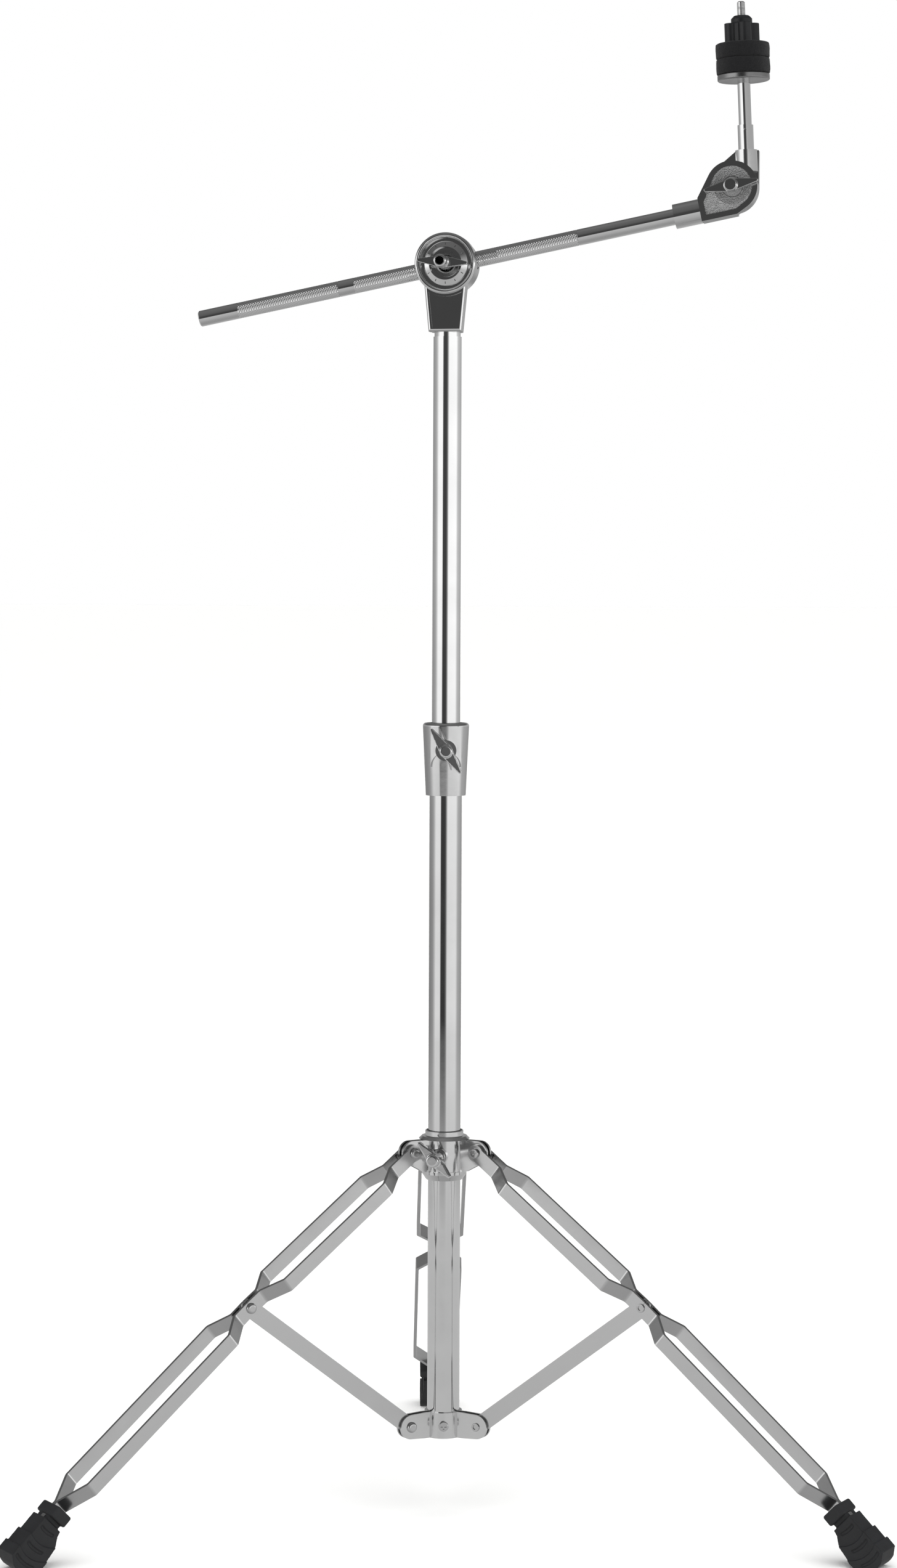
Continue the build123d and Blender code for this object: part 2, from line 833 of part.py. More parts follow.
def make_leg_rivet(angle):
    """Middle rivet in two halves, one in each strip; the brace turns between them."""
    middle = shifted(leg_plane(angle), middle_radius, middle_z)
    back = Plane(origin=middle.origin, x_dir=middle.x_dir, z_dir=-middle.z_dir)
    start = brace_thickness / 2 + body_gap
    face = start + strip_thickness + seat_gap
    dome = make_head(back.offset(face), dome_radius, dome_height, dome_round)
    end = make_flared_end(middle.offset(face))
    with BuildPart() as rivet:
        for plane in (middle, back):
            with BuildSketch(plane.offset(start)):
                Circle(pin_radius)
            extrude(amount=face - start)
        add(dome)
        add(end)
    return rivet


def foot_plane(angle):
    """A leg's plane with x down the foot's axis and y towards its outer face."""
    out = leg_plane(angle)
    origin = out.from_local_coords((ankle_radius, ankle_height, 0))
    across = (cos(angle), sin(angle))
    axis = (across[0] * cos(foot_slope), across[1] * cos(foot_slope), -sin(foot_slope))
    return Plane(origin=origin, x_dir=axis, z_dir=out.z_dir)


def foot_side(outer):
    """Side outline of the foot below its neck."""
    with BuildSketch() as side:
        with BuildLine():
            Polyline((neck_end, outer), (foot_shoulder, outer), foot_toe)
            ThreePointArc(foot_toe, foot_sole, foot_inner[-1])
            Polyline(*reversed(foot_inner), (neck_end, outer))
        make_face()
    return side.sketch


def make_foot(angle):
    """Rubber foot in three tiers below a cuff, with crescents in its sides and a pocket for the strips."""
    plane = foot_plane(angle)
    with BuildPart() as foot:
        with BuildSketch(plane):
            with Locations((cuff_length / 2, 0)):
                Rectangle(cuff_length, 2 * cuff_half_depth)
        extrude(amount=cuff_half_width, both=True)
        fillet(foot.edges(), cuff_round)
        with BuildSketch(plane):
            with Locations(((neck_end + cuff_round) / 2, 0)):
                Rectangle(neck_end, 2 * (cuff_half_depth - neck_inset))
        extrude(amount=neck_half_width, both=True)
        for start, half_width, outer in zip(tier_starts, tier_half_widths, tier_outer):
            with BuildSketch(plane):
                add(foot_side(outer))
                if start > neck_end:
                    with Locations((start - tier_arc_back, tier_arc_side)):
                        Circle(tier_arc, mode=Mode.SUBTRACT)
            extrude(amount=half_width, both=True)
        for start, half_width, outer in zip(tier_starts, tier_half_widths, tier_outer):
            centre = start - tier_arc_back + crescent_shift
            for side in (-1, 1):
                with BuildSketch(plane.offset(side * half_width)):
                    with Locations((centre, tier_arc_side)):
                        Circle(tier_arc)
                    with Locations((centre - 2 * crescent_width, tier_arc_side)):
                        Circle(tier_arc + crescent_width, mode=Mode.SUBTRACT)
                    with Locations((start + crescent_shift, 0)):
                        Rectangle(2 * tier_arc, 2 * (outer - crescent_margin), mode=Mode.INTERSECT)
                extrude(amount=-side * crescent_depth, mode=Mode.SUBTRACT)
        with BuildSketch(along_plane(angle, lower_slope, middle_radius, middle_z)):
            with Locations((lower_leg_length + (strip_pocket - ankle_flat) / 2, 0)):
                Rectangle(strip_pocket + ankle_flat + 2 * seat_gap, 2 * (strip_thickness + 2 * seat_gap))
        extrude(amount=strip_width / 2 + seat_gap, both=True, mode=Mode.SUBTRACT)
        with BuildSketch(Plane.XY):
            Circle(2 * ankle_radius)
        extrude(amount=-ankle_height, mode=Mode.SUBTRACT)
    return foot


def make_brace(angle):
    """Flat brace from the base bracket to the middle of the leg."""
    plane = leg_plane(angle)
    ends = ((pivot_radius, base_z), (middle_radius, middle_z))
    with BuildPart() as brace:
        with BuildSketch(plane):
            with Locations(*ends):
                Circle(brace_width / 2)
            make_hull()
            with Locations(ends[0]):
                Circle(pin_radius + run_gap, mode=Mode.SUBTRACT)
            with Locations(ends[1]):
                Circle(pin_radius + body_gap, mode=Mode.SUBTRACT)
        extrude(amount=brace_thickness / 2, both=True)
    return brace


# ---- boom tilter ----

def stem_face(inset):
    """Tapered face of the stem, inset from its edges."""
    low = stem_bottom + inset
    with BuildSketch() as face:
        with BuildLine():
            Polyline(
                (inset - stem_bottom_width / 2, low), (stem_bottom_width / 2 - inset, low),
                (stem_top_width / 2 - inset, stem_top), (inset - stem_top_width / 2, stem_top), close=True,
            )
        make_face()
    return face.sketch


def make_stem():
    """Stem casting: a spigot in the upper tube, a tapered front with a sunk panel, and a round cup."""
    pivot = front_plane(0, tilter_z, 0)
    with BuildPart() as stem:
        with BuildSketch(Plane.XY.offset(upper_tube_top - spigot_length)):
            Circle(upper_tube_radius - tube_wall - run_gap)
        extrude(amount=spigot_length)
        with BuildSketch(Plane.XY.offset(upper_tube_top)):
            Circle(stem_neck_radius)
        extrude(amount=stem_neck_height)
        with BuildSketch(Plane.XZ):
            with BuildLine():
                Polyline(
                    (0, stem_bottom), (stem_socket_radius, stem_bottom),
                    (stem_socket_radius, stem_bottom + stem_socket_height - stem_socket_chamfer),
                    (stem_socket_radius - stem_socket_chamfer, stem_bottom + stem_socket_height),
                    (0, stem_bottom + stem_socket_height), close=True,
                )
            make_face()
        revolve(axis=Axis.Z)
        with BuildSketch(front_plane(0, 0, stem_back)):
            add(stem_face(0.0))
        extrude(amount=stem_front - stem_back)
        fillet(stem.edges().filter_by(GeomType.LINE).group_by(Axis.Y)[0], stem_round)
        with BuildSketch(front_plane(0, 0, stem_front)):
            add(stem_face(panel_frame))
            with Locations((0, tilter_z)):
                Circle(cup_radius + panel_arc_gap, mode=Mode.SUBTRACT)
        extrude(amount=-panel_depth, mode=Mode.SUBTRACT)
        with BuildSketch(pivot.offset(stem_back)):
            Circle(cup_radius)
        extrude(amount=cup_front - stem_back)
        with BuildSketch(pivot.offset(cup_floor)):
            Circle(cup_radius - cup_rim)
        extrude(amount=cup_front - cup_floor, mode=Mode.SUBTRACT)
        fillet(stem.edges().group_by(Axis.Y)[0], cup_round)
        with BuildSketch(pivot):
            Circle(eye_shank_radius + run_gap)
        extrude(amount=cup_front, mode=Mode.SUBTRACT)
        with BuildSketch(pivot.offset(stem_back)):
            Circle(spring_radius + spring_wire + pocket_air)
        extrude(amount=spring_pocket, mode=Mode.SUBTRACT)
    return stem


def make_dial_ring():
    """Conical ring in the cup, with short marks cut around it."""
    plane = front_plane(0, tilter_z, cup_floor + seat_gap)
    with BuildPart() as dial:
        with BuildSketch(plane):
            Circle(dial_outer)
        extrude(amount=dial_thickness - dial_fall)
        with BuildSketch(plane.offset(dial_thickness - dial_fall)):
            Circle(dial_outer)
        with BuildSketch(plane.offset(dial_thickness)):
            Circle(dial_inner)
        loft()
        with BuildSketch(plane):
            Circle(dial_inner)
        extrude(amount=dial_thickness, mode=Mode.SUBTRACT)
        with BuildSketch(plane.offset(dial_thickness)):
            with PolarLocations((dial_outer + dial_inner) / 2, dial_marks):
                Rectangle(mark_length, mark_width)
        extrude(amount=-mark_depth - dial_fall / 2, mode=Mode.SUBTRACT)
    return dial


def make_boom_washer():
    plane = front_plane(0, tilter_z, cup_floor + seat_gap)
    return ring(plane, washer_radius, eye_shank_radius + run_gap, washer_thickness)


def make_drum():
    """Clamp drum behind the stem, bored across for the boom's liner and pocketed for the eye bolt."""
    pivot = front_plane(0, tilter_z, 0)
    half_pocket = eye_width / 2 + eye_air
    with BuildPart() as drum:
        with BuildSketch(pivot.offset(drum_front)):
            Circle(drum_radius)
        extrude(amount=-drum_front - drum_back)
        fillet(drum.edges().group_by(Axis.Y)[-1], drum_round)
        with BuildSketch(rod_plane(-2 * drum_radius)):
            Circle(liner_outer + run_gap)
        extrude(amount=4 * drum_radius, mode=Mode.SUBTRACT)
        with BuildSketch(rod_plane(-half_pocket)):
            Circle(eye_outer + eye_air)
        extrude(amount=2 * half_pocket, mode=Mode.SUBTRACT)
        with BuildSketch(pivot):
            Circle(eye_shank_radius + eye_air)
        extrude(amount=drum_front, mode=Mode.SUBTRACT)
    return drum


def make_eye_bolt():
    """Eye around the boom's liner, with its shank through the stem."""
    pivot = front_plane(0, tilter_z, 0)
    start = eye_inner + eye_wall / 2 - rod_offset
    with BuildPart() as bolt:
        with BuildSketch(rod_plane(-eye_width / 2)):
            Circle(eye_outer)
            Circle(eye_inner, mode=Mode.SUBTRACT)
        extrude(amount=eye_width)
        with BuildSketch(pivot.offset(start)):
            Circle(eye_shank_radius)
        extrude(amount=nut_front - nut_recess - start)
    return bolt


def make_boom_spring():
    """Coil spring on the eye bolt that pushes the drum off the stem when the nut is loose."""
    start = front_plane(0, tilter_z, drum_front + spring_wire + seat_gap)
    with BuildPart() as spring:
        with BuildLine():
            coil = Helix(spring_pitch, spring_pitch * spring_turns, spring_radius, start.origin, start.z_dir)
        with BuildSketch(Plane(origin=coil @ 0, z_dir=coil % 0)):
            Circle(spring_wire)
        sweep(is_frenet=True)
    return spring


def make_liner():
    """Split sleeve that grips the boom inside the drum."""
    with BuildPart() as liner:
        with BuildSketch(rod_plane(-liner_half)):
            Circle(liner_outer)
            Circle(liner_inner, mode=Mode.SUBTRACT)
            with Locations((liner_outer, 0)):
                Rectangle(2 * liner_wall + liner_slit, liner_slit, mode=Mode.SUBTRACT)
        extrude(amount=2 * liner_half)
    return liner


def make_boom_wing_nut():
    plane = front_plane(0, tilter_z, 0, boom_wing_turn)
    return make_wing_nut(
        plane, boom_wing_span, boom_nut_base, nut_front, eye_shank_radius, boom_blade_back
    )


# ---- boom and seat tilter ----

def make_boom_rod():
    """Boom rod from its free tail to its socket in the lower arm."""
    with BuildPart() as rod:
        with BuildSketch(rod_plane(-rod_tail)):
            Circle(rod_radius)
        extrude(amount=rod_tail + rod_sleeve_end + rod_socket - seat_gap)
        chamfer(rod.edges().group_by(Axis.X)[0], rod_tail_chamfer)
    return rod


def make_rod_sleeve():
    length = rod_sleeve_end - rod_sleeve_start - seat_gap
    return ring(rod_plane(rod_sleeve_start), rod_sleeve_radius, rod_radius + seat_gap, length)


def seat_plane(forward, turn=0.0):
    """Front plane at the seat tilter's pivot, forward of the boom's axis."""
    return front_plane(seat_x, seat_z, forward - rod_offset, turn)


def arm_outline(inset):
    """Outline of the lower arm: a block on the sleeve's end and a round at the pivot."""
    block = seat_pivot_along - rod_sleeve_end - inset
    with BuildSketch() as outline:
        with Locations((-block / 2, -seat_pivot_above)):
            Rectangle(block, arm_block_height - 2 * inset)
        Circle(arm_radius - inset)
        make_hull()
    return outline.sketch


def make_lower_arm():
    """Casting on the boom's end, with a bordered front and a bowl for the wing nut."""
    front = seat_plane(arm_front, boom_slope)
    split = seat_plane(arm_split, boom_slope)
    with BuildPart() as arm:
        with BuildSketch(split):
            add(arm_outline(0.0))
        extrude(amount=arm_front - arm_split)
        with BuildSketch(split):
            add(arm_outline(0.0))
            Circle(arm_radius + body_gap, mode=Mode.SUBTRACT)
            with Locations((arm_radius, 0)):
                Rectangle(2 * arm_radius, 4 * arm_radius, mode=Mode.SUBTRACT)
        extrude(amount=-arm_split - arm_block_height / 2)
        with BuildSketch(front):
            add(arm_outline(arm_border))
        extrude(amount=-arm_recess, mode=Mode.SUBTRACT)
        with BuildSketch(front.offset(-arm_recess)):
            Circle(arm_bowl_outer)
        with BuildSketch(seat_plane(arm_floor, boom_slope)):
            Circle(arm_bowl_inner)
        loft(mode=Mode.SUBTRACT)
        with BuildSketch(split):
            Circle(seat_bolt_radius + seat_gap)
        extrude(amount=arm_front, mode=Mode.SUBTRACT)
        with BuildSketch(rod_plane(rod_sleeve_end)):
            Circle(rod_radius + seat_gap)
        extrude(amount=rod_socket, mode=Mode.SUBTRACT)
    return arm


def make_upper_arm():
    """Casting behind the lower arm, with the neck that holds the spindle."""
    split = seat_plane(-arm_split)
    with BuildPart() as arm:
        with BuildSketch(split):
            with Locations((neck_offset, neck_top - neck_shoulder / 2)):
                Rectangle(2 * neck_radius, neck_shoulder)
            Circle(arm_radius)
            make_hull()
        extrude(amount=arm_split - arm_rear)
        with BuildSketch(spindle_plane(neck_start)):
            Circle(neck_radius)
        extrude(amount=neck_top - neck_start)
        with BuildSketch(split):
            Circle(arm_radius + body_gap)
        extrude(amount=2 * neck_radius, mode=Mode.SUBTRACT)
        with BuildSketch(spindle_plane(neck_top - spindle_sleeve_insert)):
            Circle(spindle_sleeve_radius + seat_gap)
        extrude(amount=2 * spindle_sleeve_insert, mode=Mode.SUBTRACT)
        with BuildSketch(split):
            Circle(seat_bolt_radius + run_gap)
        extrude(amount=-arm_rear, mode=Mode.SUBTRACT)
    return arm


def make_seat_bolt():
    """Bolt through both arms, its head at the back."""
    head = seat_plane(-arm_rear - body_gap)
    with BuildPart() as bolt:
        with BuildSketch(head):
            RegularPolygon(seat_bolt_head_radius, 6)
        extrude(amount=-seat_bolt_head_height)
        with BuildSketch(head):
            Circle(seat_bolt_radius)
        extrude(amount=arm_rear + body_gap + seat_nut_front)
    return bolt


def make_seat_washer():
    plane = seat_plane(arm_floor + seat_gap)
    return ring(plane, seat_washer_radius, seat_bolt_radius + seat_gap, washer_thickness)


def make_seat_wing_nut():
    plane = seat_plane(0, seat_wing_turn)
    return make_wing_nut(
        plane, seat_wing_span, seat_nut_base, seat_nut_front, seat_bolt_radius, wing_blade_back
    )


# ---- cymbal seat ----

def make_spindle_sleeve():
    """Sleeve in the neck, with a small cross hole near its top."""
    start = neck_top - spindle_sleeve_insert + seat_gap
    sleeve = ring(
        spindle_plane(start), spindle_sleeve_radius, spindle_radius + seat_gap, spindle_sleeve_top - start
    )
    top = spindle_plane(spindle_sleeve_top - sleeve_hole_drop)
    across = Plane(origin=top.origin, x_dir=top.x_dir, z_dir=(0, -1, 0))
    return drill(sleeve, across, sleeve_hole_radius, 2 * spindle_sleeve_radius)


def make_spindle():
    """Spindle with a shoulder for the cup washer and a thinner threaded end."""
    start = neck_top - spindle_sleeve_insert + 2 * seat_gap
    with BuildPart() as spindle:
        with BuildSketch(spindle_plane(start)):
            Circle(spindle_radius)
        extrude(amount=spindle_shoulder - start)
        with BuildSketch(spindle_plane(spindle_shoulder)):
            Circle(thread_radius)
        extrude(amount=spindle_tip - spindle_shoulder)
        chamfer(spindle.edges().group_by(Axis.Z)[-1], thread_chamfer)
    return spindle


def make_cup_washer():
    """Cymbal seat washer on the spindle's shoulder."""
    base = spindle_plane(spindle_shoulder + seat_gap)
    thickness = cup_washer_thickness - seat_gap
    washer = ring(base, cup_washer_radius, thread_radius + seat_gap, thickness)
    with BuildPart() as rounded:
        add(washer.part)
        rims = [e for e in rounded.edges().filter_by(GeomType.CIRCLE) if e.radius > spindle_radius]
        fillet(rims, cup_washer_round)
    return rounded


def make_felt(bottom, inner):
    felt = ring(spindle_plane(bottom), felt_radius, inner, felt_thickness)
    with BuildPart() as rounded:
        add(felt.part)
        rims = [e for e in rounded.edges().filter_by(GeomType.CIRCLE) if e.radius > felt_radius / 2]
        fillet(rims, felt_round)
    return rounded


def make_seat_sleeve():
    length = knob_bottom - body_gap - washer_top - seat_gap
    return ring(spindle_plane(washer_top + seat_gap), seat_sleeve_outer, thread_radius + seat_gap, length)


def make_seat_nut():
    """Lobed plastic nut with a round collar."""
    base = spindle_plane(knob_bottom)
    with BuildPart() as nut:
        with BuildSketch(base):
            Circle(knob_radius)
            with PolarLocations(knob_reach - knob_lobe_radius, knob_lobes, start_angle=knob_turn):
                Circle(knob_lobe_radius)
        extrude(amount=knob_height)
        with BuildSketch(base.offset(knob_height)):
            Circle(knob_collar_radius)
        extrude(amount=knob_collar_height)
        chamfer(nut.edges().group_by(Axis(base.origin, base.z_dir))[-1], knob_chamfer)
        with BuildSketch(base):
            Circle(thread_radius + run_gap)
        extrude(amount=knob_height + knob_collar_height, mode=Mode.SUBTRACT)
    return nut


# ---- write every piece ----

os.makedirs("parts", exist_ok=True)
plate_centres = [angle + lug_spacing / 2 for angle in leg_angles]

keep(make_lower_tube(), "lower_tube")
keep(make_collar(), "height_collar")
keep(make_collar_bush(), "collar_bush")
keep(make_collar_wing_bolt(), "collar_wing_bolt")
for number, centre in enumerate(plate_centres, 1):
    keep(make_base_plate(centre), f"base_plate_{number}")
    keep(make_hub_plate(centre), f"hub_plate_{number}")
keep(join([make_base_screw(centre) for centre in plate_centres]), "base_screws")
keep(join([make_base_rivet(angle) for angle in leg_angles]), "base_rivets")

keep(make_hub_bush(), "hub_bush")
keep(make_hub_top_ring(), "hub_top_ring")
keep(make_hub_bottom_ring(), "hub_bottom_ring")
keep(make_hub_boss(), "hub_boss")
keep(join([make_hub_screw(angle) for angle in leg_angles]), "hub_pivot_screws")
keep(make_hub_wing_bolt(), "hub_wing_bolt")

for number, angle in enumerate(leg_angles, 1):
    keep(make_strip(angle, 1), f"leg_{number}_left_strip")
    keep(make_strip(angle, -1), f"leg_{number}_right_strip")
    keep(make_leg_rivet(angle), f"leg_{number}_rivet")
    keep(make_foot(angle), f"leg_{number}_foot")
    keep(make_brace(angle), f"brace_{number}")

keep(make_upper_tube(), "upper_tube")
keep(make_stem(), "tilter_stem")
keep(make_dial_ring(), "tilter_dial_ring")
keep(make_boom_washer(), "boom_washer")
keep(make_drum(), "boom_clamp_drum")
keep(make_eye_bolt(), "boom_eye_bolt")
keep(make_boom_spring(), "boom_spring")
keep(make_liner(), "boom_liner")
keep(make_boom_wing_nut(), "boom_wing_nut")
keep(make_boom_rod(), "boom_rod")
keep(make_rod_sleeve(), "rod_sleeve")
keep(make_lower_arm(), "seat_lower_arm")
keep(make_upper_arm(), "seat_upper_arm")
keep(make_seat_bolt(), "seat_bolt")
keep(make_seat_washer(), "seat_washer")
keep(make_seat_wing_nut(), "seat_wing_nut")
keep(make_spindle_sleeve(), "spindle_sleeve")
keep(make_spindle(), "spindle")
keep(make_cup_washer(), "cup_washer")
keep(make_felt(washer_top + seat_gap, seat_sleeve_outer + seat_gap), "felt_lower")
keep(make_felt(upper_felt_bottom, seat_sleeve_outer + body_gap), "felt_upper")
keep(make_seat_sleeve(), "seat_sleeve")
keep(make_seat_nut(), "seat_nut")
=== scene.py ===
import bmesh
import bpy
import json
import math
from mathutils import Matrix, Vector, noise

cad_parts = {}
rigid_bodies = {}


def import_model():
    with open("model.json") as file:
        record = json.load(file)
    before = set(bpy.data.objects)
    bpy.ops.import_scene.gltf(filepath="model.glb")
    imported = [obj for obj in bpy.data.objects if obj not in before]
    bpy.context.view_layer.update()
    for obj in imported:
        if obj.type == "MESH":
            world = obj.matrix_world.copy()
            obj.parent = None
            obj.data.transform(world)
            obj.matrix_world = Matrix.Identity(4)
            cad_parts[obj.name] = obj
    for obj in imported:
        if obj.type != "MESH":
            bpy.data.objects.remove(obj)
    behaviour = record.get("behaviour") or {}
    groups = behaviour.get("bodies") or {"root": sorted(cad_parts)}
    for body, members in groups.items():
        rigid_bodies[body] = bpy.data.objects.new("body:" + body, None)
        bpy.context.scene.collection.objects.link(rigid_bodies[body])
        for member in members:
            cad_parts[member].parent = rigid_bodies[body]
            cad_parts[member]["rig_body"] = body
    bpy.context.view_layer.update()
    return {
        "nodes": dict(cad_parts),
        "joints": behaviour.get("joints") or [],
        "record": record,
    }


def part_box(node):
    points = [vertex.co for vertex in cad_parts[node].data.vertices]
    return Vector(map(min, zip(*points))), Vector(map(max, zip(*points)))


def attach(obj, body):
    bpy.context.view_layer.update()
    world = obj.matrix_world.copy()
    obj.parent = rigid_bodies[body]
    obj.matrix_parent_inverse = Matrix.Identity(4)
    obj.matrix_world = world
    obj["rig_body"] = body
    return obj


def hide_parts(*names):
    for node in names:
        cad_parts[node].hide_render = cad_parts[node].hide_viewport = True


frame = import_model()
nodes = frame["nodes"]
scene = bpy.context.scene
joints = {joint["name"]: joint for joint in frame["joints"]}
mm = 0.001
print("stage: frame loaded,", len(nodes), "nodes")


# ---- small tools ----

def linearFromHex(text):
    parts = [int(text[i:i + 2], 16) / 255 for i in (1, 3, 5)]
    return [c / 12.92 if c <= 0.04045 else ((c + 0.055) / 1.055) ** 2.4 for c in parts] + [1.0]


def addNode(tree, kind, inputs=None, **settings):
    # inputs are sockets to link from, or values
    node = tree.nodes.new(kind)
    for name, value in settings.items():
        setattr(node, name, value)
    for key, value in (inputs or {}).items():
        if isinstance(value, bpy.types.NodeSocket):
            tree.links.new(value, node.inputs[key])
        else:
            node.inputs[key].default_value = value
    return node


def placing(origin, axis):
    # stands local z along an axis
    turn = Vector((0, 0, 1)).rotation_difference(Vector(axis).normalized())
    return Matrix.Translation(origin) @ turn.to_matrix().to_4x4()


def newPiece(name, mesh, material, body):
    mesh.name = name
    mesh.materials.clear()
    mesh.materials.append(material)
    piece = bpy.data.objects.new(name, mesh)
    scene.collection.objects.link(piece)
    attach(piece, body)
    return piece


def turnedMesh(profile, steps, place):
    # spins (radius, height) points about z; a radius of 0 closes an end
    mesh = bmesh.new()
    rings = []
    for radius, height in profile:
        if radius == 0:
            rings.append([mesh.verts.new((0, 0, height))] * steps)
        else:
            angles = [2 * math.pi * i / steps for i in range(steps)]
            rings.append([mesh.verts.new((radius * math.cos(a), radius * math.sin(a), height))
                          for a in angles])
    for low, high in zip(rings, rings[1:]):
        for i in range(steps):
            j = (i + 1) % steps
            corners = [low[i], low[j], high[j], high[i]]
            mesh.faces.new([c for n, c in enumerate(corners) if c not in corners[:n]])
    bmesh.ops.recalc_face_normals(mesh, faces=mesh.faces)
    bmesh.ops.transform(mesh, matrix=place, verts=mesh.verts)
    result = bpy.data.meshes.new("turned")
    mesh.to_mesh(result)
    mesh.free()
    result.shade_smooth()
    result.set_sharp_from_angle(angle=math.radians(40))
    return result


def bakedMesh(worker):
    # the evaluated mesh of a working object, which is then removed
    graph = bpy.context.evaluated_depsgraph_get()
    mesh = bpy.data.meshes.new_from_object(worker.evaluated_get(graph))
    old = worker.data
    bpy.data.objects.remove(worker)
    bpy.data.meshes.remove(old)
    return mesh


def mergedCopy(node):
    mesh = nodes[node].data.copy()
    if "custom_normal" in mesh.attributes:
        mesh.attributes.remove(mesh.attributes["custom_normal"])
    work = bmesh.new()
    work.from_mesh(mesh)
    bmesh.ops.remove_doubles(work, verts=work.verts, dist=1e-6)
    work.to_mesh(mesh)
    work.free()
    return mesh


def softenedCopy(node, name, values, material):
    # a casting or moulding with its edges rounded over, in place of the sharp solid
    worker = bpy.data.objects.new(name, mergedCopy(node))
    scene.collection.objects.link(worker)
    remesh = worker.modifiers.new("remesh", "REMESH")
    remesh.mode = "VOXEL"
    remesh.voxel_size = values["voxel"]
    smooth = worker.modifiers.new("smooth", "SMOOTH")
    smooth.factor = 0.5
    smooth.iterations = values["passes"]
    mesh = bakedMesh(worker)
    mesh.shade_smooth()
    piece = newPiece(name, mesh, material, nodes[node]["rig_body"])
    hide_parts(node)
    return piece


def geometryMesh(tree, values):
    # runs a geometry tree with its named inputs and returns the plain mesh
    worker = bpy.data.objects.new("worker", bpy.data.meshes.new("worker"))
    scene.collection.objects.link(worker)
    modifier = worker.modifiers.new("nodes", "NODES")
    modifier.node_group = tree
    for item in tree.interface.items_tree:
        if item.item_type == "SOCKET" and item.in_out == "INPUT" and item.name in values:
            modifier[item.identifier] = values[item.name]
    return bakedMesh(worker)


def geometryTree(name, inputs):
    tree = bpy.data.node_groups.new(name, "GeometryNodeTree")
    for socket, kind in inputs.items():
        tree.interface.new_socket(socket, in_out="INPUT", socket_type=kind)
    tree.interface.new_socket("Geometry", in_out="OUTPUT", socket_type="NodeSocketGeometry")
    return tree


# ---- materials ----

def newMaterial(name):
    material = bpy.data.materials.new(name)
    material.use_nodes = True
    tree = material.node_tree
    tree.nodes.clear()
    shader = addNode(tree, "ShaderNodeBsdfPrincipled")
    addNode(tree, "ShaderNodeOutputMaterial", {"Surface": shader.outputs["BSDF"]})
    place = addNode(tree, "ShaderNodeTexCoord").outputs["Object"]
    return material, tree, shader, place


def platedSteel(name, values):
    # bright nickel-chrome over polished steel: a mirror with faint haze where hands and cloths have been
    material, tree, shader, place = newMaterial(name)
    haze = addNode(tree, "ShaderNodeTexNoise", {
        "Vector": place, "Scale": 1 / values["hazeSize"], "Detail": 4.0,
    })
    rough = addNode(tree, "ShaderNodeMapRange", {
        "Value": haze.outputs["Fac"], "From Min": 0.35, "From Max": 0.7,
        "To Min": values["roughLow"], "To Max": values["roughHigh"],
    })
    tint = addNode(tree, "ShaderNodeMix", {
        "Factor": haze.outputs["Fac"], 6: linearFromHex(values["bright"]), 7: linearFromHex(values["dull"]),
    }, data_type="RGBA")
    ripple = addNode(tree, "ShaderNodeTexNoise", {
        "Vector": place, "Scale": 1 / values["rippleSize"], "Detail": 3.0,
    })
    bump = addNode(tree, "ShaderNodeBump", {
        "Height": ripple.outputs["Fac"], "Strength": values["ripple"], "Distance": 0.0002,
    })
    tree.links.new(tint.outputs[2], shader.inputs["Base Color"])
    tree.links.new(rough.outputs["Result"], shader.inputs["Roughness"])
    tree.links.new(bump.outputs["Normal"], shader.inputs["Normal"])
    shader.inputs["Metallic"].default_value = 1.0
    return material


